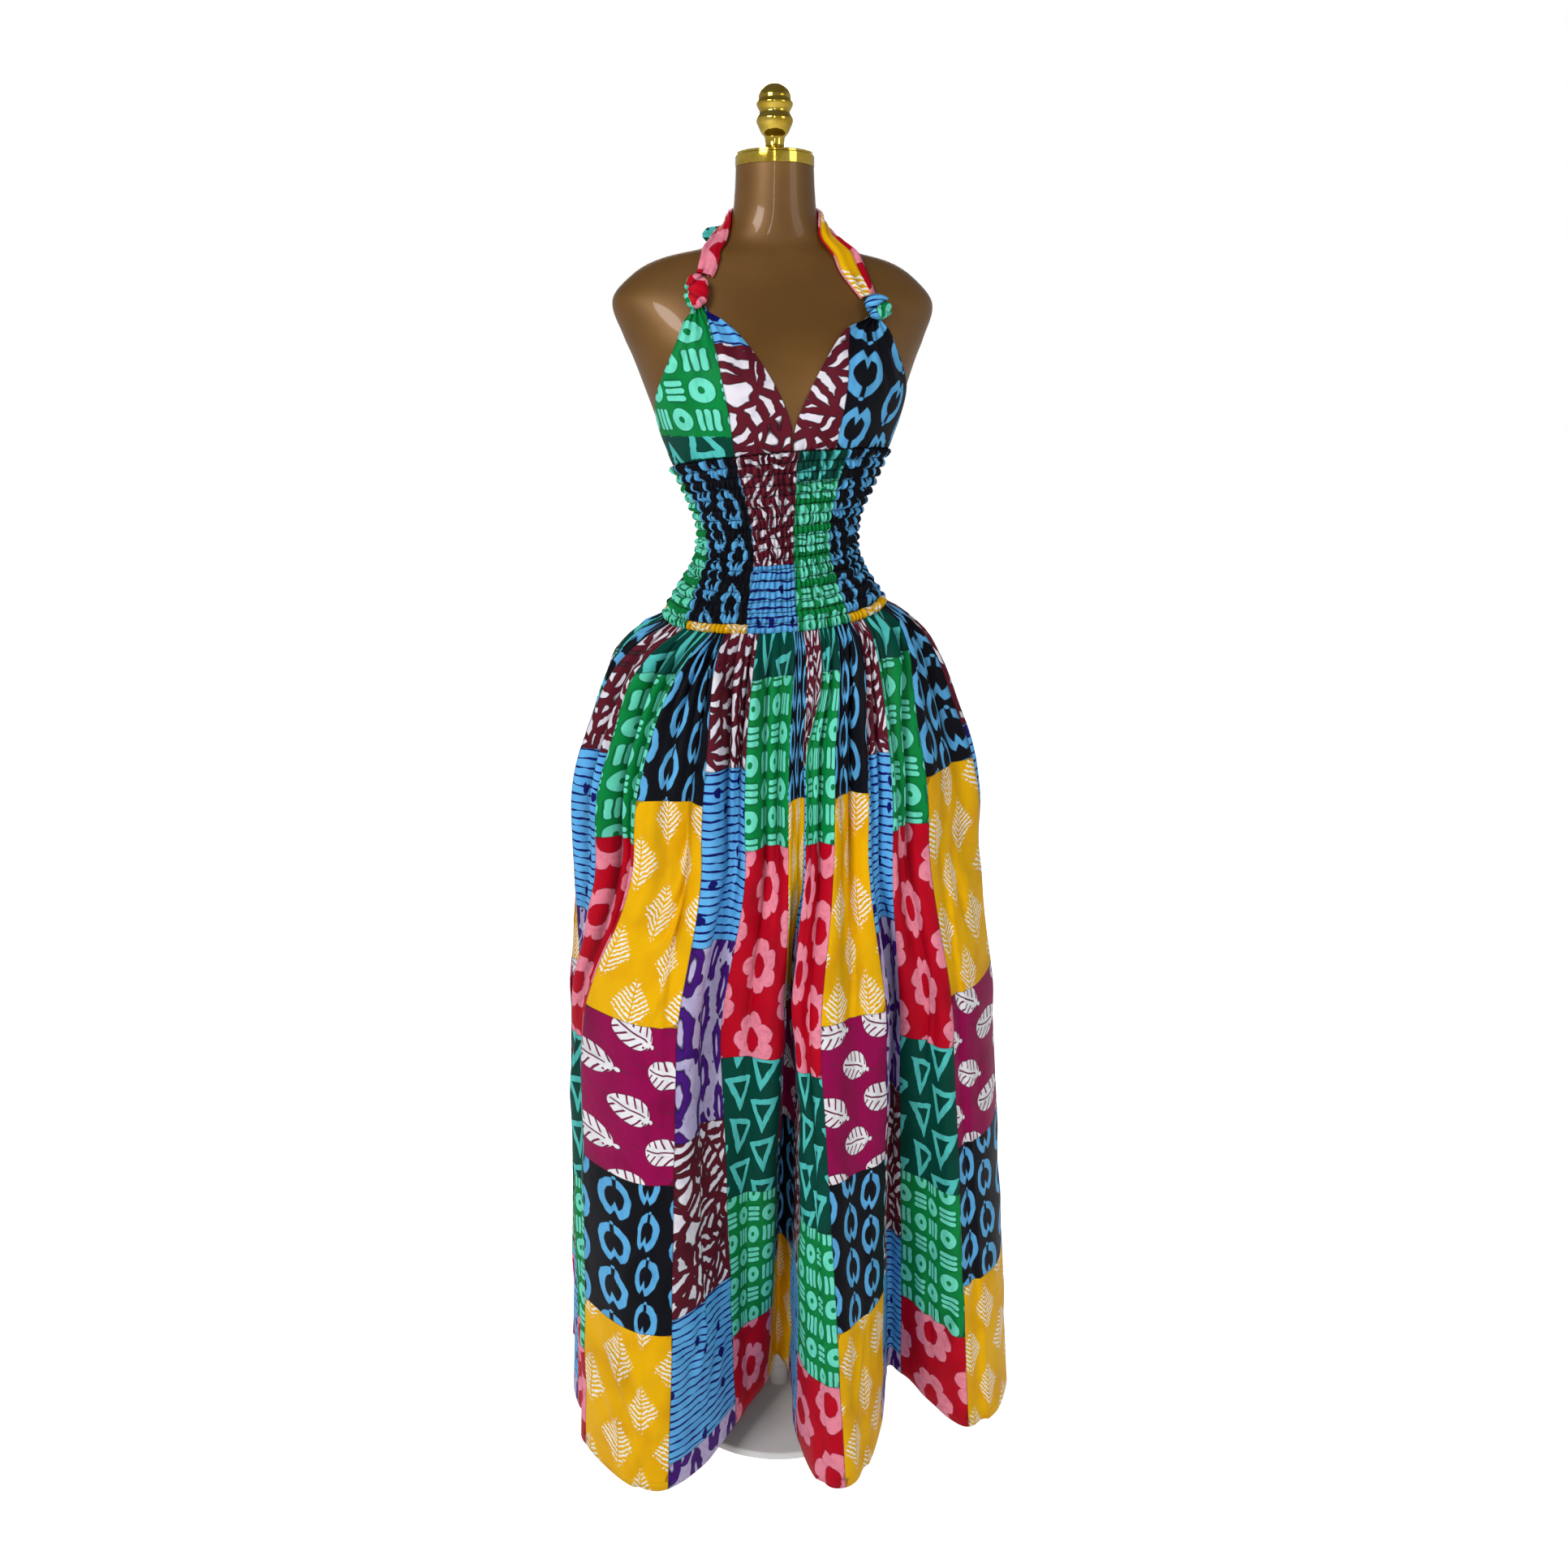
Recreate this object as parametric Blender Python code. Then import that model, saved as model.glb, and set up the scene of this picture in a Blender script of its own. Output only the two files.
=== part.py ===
"""Smocked halter maxi dress on a limbless dress form. Metres, +Z up, the front faces -Y."""

import math

import bmesh
import bpy
from mathutils import Vector

# Gaps and cloth
SEAM_GAP = 0.0003
CLOTH = 0.0016
BAND_CLOTH = 0.0022
CLEARANCE = 0.0009

# Stand
BASE_RADIUS = 0.150
BASE_THICKNESS = 0.010
POLE_RADIUS = 0.0125

# Dress form: torso from the hip to the neck, with a flat cap and a turned finial
FORM_BOTTOM = 0.740
FORM_TOP = 1.627
FORM_SIDES = 36
NECK_MIDDLE = 0.015
CAP_RADIUS = 0.0455
CAP_THICKNESS = 0.015
# height, half width, y of the widest point, depth in front of it, depth behind it
FORM_SECTIONS = (
    (0.740, 0.1480, 0.006, 0.100, 0.104),
    (0.800, 0.1600, 0.006, 0.110, 0.114),
    (0.900, 0.1670, 0.006, 0.116, 0.120),
    (1.000, 0.1620, 0.004, 0.112, 0.116),
    (1.080, 0.1470, 0.002, 0.104, 0.104),
    (1.125, 0.1300, 0.000, 0.096, 0.094),
    (1.145, 0.1180, 0.000, 0.091, 0.088),
    (1.165, 0.1040, 0.000, 0.087, 0.083),
    (1.185, 0.0945, 0.000, 0.084, 0.080),
    (1.205, 0.0915, 0.000, 0.083, 0.079),
    (1.230, 0.0945, 0.001, 0.085, 0.080),
    (1.267, 0.1090, 0.002, 0.092, 0.084),
    (1.300, 0.1250, 0.003, 0.101, 0.089),
    (1.335, 0.1390, 0.004, 0.108, 0.094),
    (1.371, 0.1520, 0.006, 0.110, 0.097),
    (1.417, 0.1690, 0.010, 0.102, 0.093),
    (1.440, 0.1790, 0.012, 0.094, 0.089),
    (1.479, 0.1910, 0.016, 0.078, 0.078),
    (1.505, 0.1720, 0.017, 0.066, 0.068),
    (1.5276, 0.1366, 0.018, 0.057, 0.060),
    (1.541, 0.0865, 0.018, 0.051, 0.054),
    (1.557, 0.0610, 0.017, 0.048, 0.050),
    (1.575, 0.0500, 0.016, 0.046, 0.048),
    (1.600, 0.0465, 0.015, 0.045, 0.046),
    (1.627, 0.0450, 0.015, 0.045, 0.045),
)
FORM_HEIGHTS = (
    0.740, 0.800, 0.900, 1.000, 1.060, 1.095, 1.115, 1.130, 1.145, 1.162, 1.178, 1.194, 1.210,
    1.226, 1.244, 1.264, 1.288, 1.315, 1.340, 1.362, 1.385, 1.408, 1.430, 1.452, 1.468, 1.482,
    1.494, 1.506, 1.518, 1.5276, 1.535, 1.541, 1.548, 1.555, 1.562, 1.570, 1.580, 1.600, 1.627,
)
# The bust is two low, wide rises on the front
BUST_OUT = 0.072
BUST_HEIGHT = 1.385
BUST_RISE = 0.018
BUST_WIDTH = 0.048
BUST_SPREAD = 0.050
# height over the cap, radius
FINIAL_PROFILE = (
    (0.0000, 0.0160),
    (0.0040, 0.0145),
    (0.0066, 0.0114),
    (0.0166, 0.0116),
    (0.0207, 0.0150),
    (0.0253, 0.0175),
    (0.0353, 0.0212),
    (0.0434, 0.0178),
    (0.0523, 0.0212),
    (0.0561, 0.0192),
    (0.0625, 0.0180),
    (0.0680, 0.0145),
    (0.0720, 0.0090),
    (0.0740, 0.0030),
)

# Smocked band: its edges tilt a little to one side, as worn
BAND_LOW = 1.119
BAND_LOW_DIP = 0.014
BAND_HIGH = 1.303
BAND_HIGH_RISE = 0.010
BAND_TILT = 0.009
SMOCK_ROWS = 17
PUFFS_IN_HALF = 34
INNER_ROWS = 10
INNER_COLUMNS = 18
PUFF_RISE = 0.003

# Skirt: 27 strips of patches, gathered twice in each strip
STRIP = 0.115
STRIPS = 27
SWEEP = STRIP * STRIPS
GATHERS_IN_STRIP = 2
SKIRT_LIFT = 0.0024
UPPER_HEIGHT = 0.860
MIDDLE_HEIGHT = 0.600
UPPER_HALF = 0.262
UPPER_FRONT = 0.180
UPPER_BACK = 0.180
SKIRT_SPREAD_POWER = 2.2
# Gathers that lie closer together than this are shallower
GATHER_ROOM = 0.012
# How far down each ring of the skirt lies, as a share of the drop, and how deep its gathers are
SKIRT_RINGS = (
    (0.000, 0.0039),
    (0.012, 0.0047),
    (0.035, 0.0065),
    (0.075, 0.0085),
    (0.140, 0.0091),
    (0.230, 0.0062),
    (0.320, 0.0026),
    (0.420, 0.0008),
    (0.540, 0.0000),
    (0.760, 0.0000),
    (1.000, 0.0000),
)
FRONT_START = -6 * STRIP
FRONT_END = 7 * STRIP
# A row for each fold line of the skirt: metres along the cloth from the front centre, angle at
# the seam, angle at the upper ring, x and y at the middle ring, x, y and z at the hem
FOLD_LINES = (
    (-0.690, -90.0, -110.0, -0.268, 0.056, -0.278, 0.068, 0.050),
    (-0.600, -79.0, -86.0, -0.246, 0.030, -0.262, 0.035, 0.055),
    (-0.520, -68.0, -71.0, -0.268, 0.006, -0.290, -0.004, 0.050),
    (-0.460, -59.0, -61.0, -0.268, -0.020, -0.284, -0.048, 0.048),
    (-0.345, -41.0, -46.0, -0.257, -0.087, -0.276, -0.124, 0.045),
    (-0.285, -36.0, -35.0, -0.204, -0.158, -0.228, -0.205, 0.045),
    (-0.230, -32.0, -25.0, -0.147, -0.177, -0.181, -0.222, 0.045),
    (-0.175, -24.0, -19.5, -0.116, -0.147, -0.129, -0.185, 0.045),
    (-0.115, -16.0, -14.5, -0.095, -0.136, -0.082, -0.128, 0.050),
    (-0.055, -7.0, -8.5, -0.056, -0.156, -0.051, -0.093, 0.055),
    (0.000, 1.0, -4.2, -0.023, -0.160, -0.027, -0.057, 0.060),
    (0.065, 3.5, -1.2, -0.006, -0.078, -0.006, -0.022, 0.070),
    (0.115, 5.6, 1.4, 0.007, -0.105, 0.008, -0.061, 0.065),
    (0.230, 13.5, 4.4, -0.002, -0.189, -0.003, -0.170, 0.050),
    (0.305, 18.5, 6.4, 0.003, -0.207, 0.013, -0.250, 0.045),
    (0.345, 22.5, 8.6, 0.018, -0.211, 0.042, -0.258, 0.045),
    (0.405, 27.5, 12.5, 0.060, -0.204, 0.078, -0.226, 0.045),
    (0.460, 32.3, 17.5, 0.103, -0.182, 0.109, -0.162, 0.050),
    (0.520, 37.0, 21.0, 0.118, -0.118, 0.140, -0.076, 0.065),
    (0.575, 42.0, 24.6, 0.135, -0.135, 0.161, -0.079, 0.060),
    (0.635, 55.0, 30.0, 0.159, -0.163, 0.191, -0.135, 0.050),
    (0.690, 68.6, 36.8, 0.187, -0.173, 0.224, -0.180, 0.045),
    (0.755, 80.0, 52.0, 0.238, -0.133, 0.275, -0.153, 0.045),
    (0.805, 90.0, 65.0, 0.268, -0.082, 0.306, -0.095, 0.050),
    (0.880, 98.0, 84.0, 0.277, -0.020, 0.317, -0.026, 0.050),
    (0.970, 107.0, 103.0, 0.258, 0.050, 0.290, 0.050, 0.050),
    (1.050, 116.0, 118.0, 0.208, 0.082, 0.222, 0.086, 0.062),
    (1.130, 126.0, 130.0, 0.206, 0.140, 0.232, 0.160, 0.050),
    (1.220, 138.0, 142.0, 0.156, 0.185, 0.178, 0.226, 0.045),
    (1.310, 149.0, 154.0, 0.090, 0.172, 0.103, 0.190, 0.050),
    (1.390, 159.0, 163.0, 0.064, 0.122, 0.070, 0.112, 0.066),
    (1.480, 171.0, 172.0, 0.030, 0.165, 0.036, 0.172, 0.050),
    (1.570, 182.0, 180.0, -0.008, 0.198, -0.006, 0.240, 0.045),
    (1.660, 194.0, 191.0, -0.060, 0.182, -0.064, 0.200, 0.050),
    (1.740, 205.0, 201.0, -0.088, 0.130, -0.096, 0.122, 0.066),
    (1.830, 217.0, 212.0, -0.124, 0.162, -0.134, 0.172, 0.050),
    (1.930, 229.0, 223.0, -0.178, 0.174, -0.196, 0.206, 0.045),
    (2.030, 240.0, 231.5, -0.226, 0.140, -0.246, 0.162, 0.048),
    (2.110, 248.0, 237.0, -0.212, 0.106, -0.220, 0.110, 0.060),
    (2.210, 256.0, 241.5, -0.236, 0.104, -0.260, 0.126, 0.050),
    (2.320, 264.0, 245.5, -0.262, 0.086, -0.284, 0.104, 0.048),
)

# Cups: height, angle of the outer edge, angle of the neckline edge; both cups use it, mirrored
CUP_EDGES = (
    (1.3000, 88.0, 0.30),
    (1.3250, 94.0, 0.60),
    (1.3550, 83.0, 4.30),
    (1.3920, 61.0, 10.5),
    (1.4250, 47.0, 16.6),
    (1.4420, 41.5, 20.5),
    (1.4600, 36.5, 26.0),
)
# Height of each cup's top, under its knot; the tables above end at the left one's
CUP_TOP = {-1: 1.460, 1: 1.4514}
CUP_COLUMNS = 14
CUP_ROWS = 12
CUP_PUFF = 0.007
CUP_GATHERS = 5
CUP_GATHER_DEPTH = 0.0022
# The fullness runs from just under the first row to full over this share of the height
CUP_PUFF_START = 0.08
CUP_PUFF_SPAN = 0.85

# Ties and knots, on the form's surface
TIE_CLEARANCE = 0.0012
# share of the way from the knot to the nape, width of the left tie, of the right one
TIE_WIDTHS = (
    (0.00, 0.0185, 0.0190),
    (0.10, 0.0200, 0.0262),
    (0.25, 0.0207, 0.0325),
    (0.50, 0.0207, 0.0310),
    (0.75, 0.0200, 0.0225),
    (1.00, 0.0190, 0.0190),
)
TIE_THICKNESS = 0.0042
TIE_EDGE = 0.35
TIE_STATIONS = 18
TIE_COLUMNS = 4
SKIN_STEPS = 5
# angle and height of the route of the left tie, from its knot to the nape
LEFT_TIE = ((31.0, 1.5030), (32.2, 1.5156), (37.0, 1.5285), (87.0, 1.5640), (115.0, 1.5740),
            (142.0, 1.5770), (166.0, 1.5770))
RIGHT_TIE = ((30.2, 1.4818), (29.3, 1.5000), (30.0, 1.5160), (36.5, 1.5320), (55.0, 1.5500),
             (84.0, 1.5680), (112.0, 1.5755), (142.0, 1.5770), (166.0, 1.5770))
# centre angle, centre height, half width, half height, rise
LEFT_KNOT = (31.5, 1.4815, 0.0135, 0.0205, 0.0165)
RIGHT_KNOT = (32.8, 1.4668, 0.0160, 0.0144, 0.0180)
NAPE_KNOT = (180.0, 1.5770, 0.0105, 0.0135, 0.0150)
KNOT_COLUMNS = 8
KNOT_ROWS = 6
# How much a knot slims to its ends, and the slanting crease where the tie crosses over itself
KNOT_SLIMMING = 0.72
KNOT_CREASE = 0.16
KNOT_CREASE_HALF = 0.22
KNOT_CREASE_SLANT = 0.5
# A round profile stops a little short of its full half circle, so that its edge keeps a wall
ALMOST_ALL = 0.95

# Bow at the nape: its loops start beside the knot, and its tails hang from under it
BOW_SIDE = 0.0117
BOW_BEHIND = 0.0566
LOOP_LENGTH = 0.064
LOOP_SWING = 0.020
LOOP_THICKNESS = 0.0075
# share of the way out, rise, half width
LOOP_SECTIONS = (
    (0.00, 0.000, 0.0055),
    (0.18, -0.003, 0.0082),
    (0.45, -0.010, 0.0095),
    (0.72, -0.015, 0.0096),
    (0.92, -0.016, 0.0085),
    (1.00, -0.0165, 0.0035),
)
TAIL_DROP = 0.0016
TAIL_LENGTH = 0.105
TAIL_LIFT = 0.0039
TAIL_THICKNESS = 0.0030
# share of the way down, degrees from the middle of the back, half width
TAIL_SECTIONS = (
    (0.00, 7.0, 0.0055),
    (0.25, 8.25, 0.0100),
    (0.60, 10.0, 0.0120),
    (1.00, 12.0, 0.0125),
)
RIBBON_SIDES = 8


def colour_material(name, colour, roughness, metallic=0.0):
    material = bpy.data.materials.new(name)
    material.use_nodes = True
    shader = material.node_tree.nodes["Principled BSDF"]
    shader.inputs["Base Color"].default_value = (*colour, 1.0)
    shader.inputs["Roughness"].default_value = roughness
    shader.inputs["Metallic"].default_value = metallic
    material.diffuse_color = (*colour, 1.0)
    return material


def smoothstep(share):
    share = min(max(share, 0.0), 1.0)
    return share * share * (3.0 - 2.0 * share)


def smooth_row(rows, at):
    """The other columns of a table, read smoothly at a value of its first column."""
    at = min(max(at, rows[0][0]), rows[-1][0])
    here = max(i for i in range(len(rows) - 1) if rows[i][0] <= at)
    start, end = rows[here], rows[here + 1]
    before = rows[max(here - 1, 0)]
    after = rows[min(here + 2, len(rows) - 1)]
    length = end[0] - start[0]
    share = (at - start[0]) / length
    cube, square = share ** 3, share ** 2
    values = []
    for column in range(1, len(start)):
        leaving = (end[column] - before[column]) / (end[0] - before[0]) * length
        arriving = (after[column] - start[column]) / (after[0] - start[0]) * length
        values.append((2 * cube - 3 * square + 1) * start[column]
                      + (cube - 2 * square + share) * leaving
                      + (3 * square - 2 * cube) * end[column]
                      + (cube - square) * arriving)
    return values


def bust_rise(x, height):
    rise = 0.0
    for side in (-1, 1):
        across = (x - side * BUST_OUT) / BUST_WIDTH
        upright = (height - BUST_HEIGHT) / BUST_SPREAD
        rise += BUST_RISE * math.exp(-across ** 2 - upright ** 2)
    return rise


def skin_point(angle, height):
    """A point of the form's surface; the angle in degrees is 0 in front and 90 at +X."""
    half, middle, front, back = smooth_row(FORM_SECTIONS, height)
    turn = math.radians(angle)
    x = half * math.sin(turn)
    if math.cos(turn) < 0.0:
        return Vector((x, middle - back * math.cos(turn), height))
    y = middle - front * math.cos(turn) - bust_rise(x, height) * math.cos(turn)
    return Vector((x, y, height))


def skin_slopes(angle, height):
    """The surface's change per degree and per metre of height."""
    turn, climb = 0.5, 0.001
    around = (skin_point(angle + turn, height) - skin_point(angle - turn, height)) / (2 * turn)
    low = max(height - climb, FORM_BOTTOM)
    high = min(height + climb, FORM_TOP)
    upward = (skin_point(angle, high) - skin_point(angle, low)) / (high - low)
    return around, upward


def lifted_point(angle, height, lift):
    around, upward = skin_slopes(angle, height)
    return skin_point(angle, height) + around.cross(upward).normalized() * lift


class Surface:
    """Points and faces of one closed solid, gathered before they become a mesh."""

    def __init__(self):
        self.points = []
        self.faces = []

    def row(self, points):
        first = len(self.points)
        self.points.extend(points)
        return list(range(first, first + len(points)))

    def quads(self, rows, closed=False):
        """Faces between neighbouring rows of equal length."""
        for low, high in zip(rows, rows[1:]):
            count = len(low)
            for column in range(count if closed else count - 1):
                after = (column + 1) % count
                self.faces.append((low[column], low[after], high[after], high[column]))

    def rim(self, one, other):
        """Triangles between two rails that may have different numbers of points."""
        i = j = 0
        while i < len(one) - 1 or j < len(other) - 1:
            ahead_one = (i + 1) / (len(one) - 1)
            ahead_other = (j + 1) / (len(other) - 1)
            if i < len(one) - 1 and (ahead_one <= ahead_other or j == len(other) - 1):
                self.faces.append((one[i], one[i + 1], other[j]))
                i += 1
            else:
                self.faces.append((one[i], other[j + 1], other[j]))
                j += 1

    def cap(self, row):
        self.faces.append(tuple(row))

    def build(self, name, material, smooth_angle=40.0):
        mesh = bpy.data.meshes.new(name)
        mesh.from_pydata(self.points, [], self.faces)
        work = bmesh.new()
        work.from_mesh(mesh)
        bmesh.ops.recalc_face_normals(work, faces=work.faces)
        work.to_mesh(mesh)
        work.free()
        mesh.shade_smooth()
        mesh.set_sharp_from_angle(angle=math.radians(smooth_angle))
        solid = bpy.data.objects.new(name, mesh)
        bpy.context.scene.collection.objects.link(solid)
        mesh.materials.append(material)
        return solid


def wall(name, material, outer, inner):
    """A cloth wall from its outer and inner rows of points, closed along its four edges."""
    surface = Surface()
    outside = [surface.row(points) for points in outer]
    inside = [surface.row(points) for points in inner]
    surface.quads(outside)
    surface.quads(inside)
    surface.rim(outside[0], inside[0])
    surface.rim(outside[-1], inside[-1])
    surface.rim([row[0] for row in outside], [row[0] for row in inside])
    surface.rim([row[-1] for row in outside], [row[-1] for row in inside])
    return surface.build(name, material)


def turned(name, material, profile, middle, foot, sides):
    """A solid turned about an upright axis, with flat ends; the profile has height and radius."""
    surface = Surface()
    rows = []
    for height, radius in profile:
        ring = []
        for side in range(sides):
            turn = 2 * math.pi * side / sides
            ring.append(Vector((radius * math.sin(turn), middle - radius * math.cos(turn),
                                foot + height)))
        rows.append(surface.row(ring))
    surface.quads(rows, closed=True)
    surface.cap(rows[0])
    surface.cap(rows[-1])
    return surface.build(name, material)


# Dress form and stand

def make_torso(material):
    surface = Surface()
    rows = []
    for height in FORM_HEIGHTS:
        rows.append(surface.row([skin_point(360.0 * side / FORM_SIDES, height)
                                 for side in range(FORM_SIDES)]))
    surface.quads(rows, closed=True)
    surface.cap(rows[0])
    surface.cap(rows[-1])
    return surface.build("form_torso", material)


def make_neck_cap(material):
    edge = 0.0015
    profile = ((0.0, CAP_RADIUS - edge / 2), (edge / 2, CAP_RADIUS),
               (CAP_THICKNESS - edge, CAP_RADIUS), (CAP_THICKNESS, CAP_RADIUS - edge))
    return turned("form_neck_cap", material, profile, NECK_MIDDLE, FORM_TOP + SEAM_GAP, 28)


def make_finial(material):
    foot = FORM_TOP + CAP_THICKNESS + 2 * SEAM_GAP
    return turned("form_finial", material, FINIAL_PROFILE, NECK_MIDDLE, foot, 16)


def make_stand(pole_material, base_material):
    edge = 0.002
    base_profile = ((0.0, BASE_RADIUS), (BASE_THICKNESS - edge, BASE_RADIUS),
                    (BASE_THICKNESS, BASE_RADIUS - edge))
    turned("stand_base", base_material, base_profile, 0.0, 0.0, 40)
    length = FORM_BOTTOM - BASE_THICKNESS - 2 * SEAM_GAP
    turned("stand_pole", pole_material, ((0.0, POLE_RADIUS), (length, POLE_RADIUS)), 0.0,
           BASE_THICKNESS + SEAM_GAP, 20)


# Smocked band

def band_low(angle):
    turn = math.radians(angle)
    return BAND_LOW - BAND_LOW_DIP * math.cos(turn) + BAND_TILT * math.sin(turn)


def band_high(angle):
    turn = math.radians(angle)
    return BAND_HIGH + BAND_HIGH_RISE * math.cos(turn) + BAND_TILT * math.sin(turn)


def band_point(angle, share, lift):
    low = band_low(angle)
    return lifted_point(angle, low + (band_high(angle) - low) * share, lift)


def seam_turn(radius):
    """Half a seam's gap, as an angle at this radius."""
    return math.degrees(SEAM_GAP / 2 / radius)


def make_band(name, start, end, material):
    """Half of the band: each cell between two threads and two pleats is a small raised puff."""
    edge = seam_turn(0.095)
    start += edge
    end -= edge
    surface = Surface()
    crossings = []
    for row in range(SMOCK_ROWS + 1):
        share = row / SMOCK_ROWS
        crossings.append(surface.row([
            band_point(start + (end - start) * column / PUFFS_IN_HALF, share,
                       CLEARANCE + BAND_CLOTH)
            for column in range(PUFFS_IN_HALF + 1)]))
    for row in range(SMOCK_ROWS):
        share = (row + 0.5) / SMOCK_ROWS
        tops = surface.row([
            band_point(start + (end - start) * (column + 0.5) / PUFFS_IN_HALF, share,
                       CLEARANCE + BAND_CLOTH + PUFF_RISE)
            for column in range(PUFFS_IN_HALF)])
        low, high = crossings[row], crossings[row + 1]
        for column, top in enumerate(tops):
            corners = (low[column], low[column + 1], high[column + 1], high[column])
            for corner in range(4):
                surface.faces.append((corners[corner], corners[(corner + 1) % 4], top))
    inside = []
    for row in range(INNER_ROWS + 1):
        inside.append(surface.row([
            band_point(start + (end - start) * column / INNER_COLUMNS, row / INNER_ROWS,
                       CLEARANCE)
            for column in range(INNER_COLUMNS + 1)]))
    surface.quads(inside)
    surface.rim(crossings[0], inside[0])
    surface.rim(crossings[-1], inside[-1])
    surface.rim([row[0] for row in crossings], [row[0] for row in inside])
    surface.rim([row[-1] for row in crossings], [row[-1] for row in inside])
    return surface.build(name, material, smooth_angle=75.0)


# Skirt

def fold_line_rows():
    """The fold lines, continued past both ends so that the skirt closes on itself."""
    rows = []
    for lap in (-1, 0, 1):
        for cloth, seam, upper, *places in FOLD_LINES:
            rows.append((cloth + lap * SWEEP, seam + lap * 360.0, upper + lap * 360.0, *places))
    return rows


def upper_point(angle):
    turn = math.radians(angle)
    depth = UPPER_FRONT if math.cos(turn) > 0 else UPPER_BACK
    return Vector((UPPER_HALF * math.sin(turn), -depth * math.cos(turn), UPPER_HEIGHT))


def skirt_rail(rows, cloth):
    """The four points that one line of cloth passes: seam, upper ring, middle ring and hem."""
    seam, upper, middle_x, middle_y, hem_x, hem_y, hem_z = smooth_row(rows, cloth)
    top = lifted_point(seam, band_low(seam) - SEAM_GAP, SKIRT_LIFT)
    return (top, upper_point(upper), Vector((middle_x, middle_y, MIDDLE_HEIGHT)),
            Vector((hem_x, hem_y, hem_z)))


def skirt_point(rail, share):
    top, upper, middle, hem = rail
    height = top.z + (hem.z - top.z) * share
    if height > upper.z:
        down = (top.z - height) / (top.z - upper.z)
        place = top.lerp(upper, 1.0 - (1.0 - down) ** SKIRT_SPREAD_POWER)
    elif height > middle.z:
        down = (upper.z - height) / (upper.z - middle.z)
        place = upper.lerp(middle, smoothstep(down))
    else:
        down = (middle.z - height) / (middle.z - hem.z)
        place = middle.lerp(hem, down)
    return Vector((place.x, place.y, height))


def make_skirt(name, start, end, material):
    rows = fold_line_rows()
    steps = round((end - start) / STRIP) * 2 * GATHERS_IN_STRIP
    step = (end - start) / steps
    rails = [skirt_rail(rows, start + step * column) for column in range(-1, steps + 2)]
    outer = []
    inner = []
    for share, depth in SKIRT_RINGS:
        ring = [skirt_point(rail, share) for rail in rails]
        outer_row = []
        inner_row = []
        for column in range(steps + 1):
            before, here, after = ring[column], ring[column + 1], ring[column + 2]
            along = (after - before).normalized()
            outward = Vector((along.y, -along.x, 0.0)).normalized()
            room = min((after - before).length / GATHER_ROOM, 1.0) ** 2
            gather = room * depth * (column % 2)
            place = here + outward * (CLOTH + gather)
            if column in (0, steps):
                inward = along if column == 0 else -along
                place += inward * SEAM_GAP / 2
            outer_row.append(place)
            inner_row.append(place - outward * CLOTH)
        outer.append(outer_row)
        inner.append(inner_row)
    return wall(name, material, outer[::-1], inner[::-1])


# Cups

def make_cup(name, side, material):
    """A gathered triangle; side is -1 at -X and 1 at +X."""
    outer = []
    inner = []
    top = CUP_TOP[side]
    for row in range(CUP_ROWS + 1):
        up = row / CUP_ROWS
        outer_row = []
        inner_row = []
        for column in range(CUP_COLUMNS + 1):
            across = column / CUP_COLUMNS
            level = CUP_EDGES[0][0] + (top - CUP_EDGES[0][0]) * up
            edge, neckline = smooth_row(CUP_EDGES, level)
            angle = side * (neckline + (edge - neckline) * across)
            if side > 0:
                angle += 2 * seam_turn(0.105)
            foot = band_high(angle) + SEAM_GAP
            height = foot + (top - foot) * up
            fullness = math.sin(math.pi * across)
            fullness *= math.sin(math.pi * (CUP_PUFF_START + CUP_PUFF_SPAN * up))
            wave = math.cos(2 * math.pi * CUP_GATHERS * across)
            gather = CUP_GATHER_DEPTH * (0.5 - 0.5 * wave) * smoothstep(up)
            lift = CLEARANCE + CUP_PUFF * fullness + gather
            outer_row.append(lifted_point(angle, height, lift + CLOTH))
            inner_row.append(lifted_point(angle, height, lift))
        outer.append(outer_row)
        inner.append(inner_row)
    return wall(name, material, outer, inner)


# Ties, knots and bow

def walk_on_skin(angle, height, direction, distance):
    """The angle and height reached by a walk over the surface in a direction."""
    for _ in range(SKIN_STEPS):
        around, upward = skin_slopes(angle, height)
        a, b, c = around.dot(around), around.dot(upward), upward.dot(upward)
        p, q = around.dot(direction), upward.dot(direction)
        step = distance / SKIN_STEPS / (a * c - b * b)
        angle, height = angle + (p * c - q * b) * step, height + (q * a - p * b) * step
    return angle, height


def under_route(centre):
    """Angle and height on the form beside a point of a tie's route, and how far off it is."""
    half, middle, front, back = smooth_row(FORM_SECTIONS, centre.z)
    depth = front if centre.y < middle else back
    angle = math.degrees(math.atan2(centre.x / half, (middle - centre.y) / depth))
    around, upward = skin_slopes(angle, centre.z)
    off = (centre - skin_point(angle, centre.z)).dot(around.cross(upward).normalized())
    return angle, centre.z, max(off, 0.0)


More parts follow.
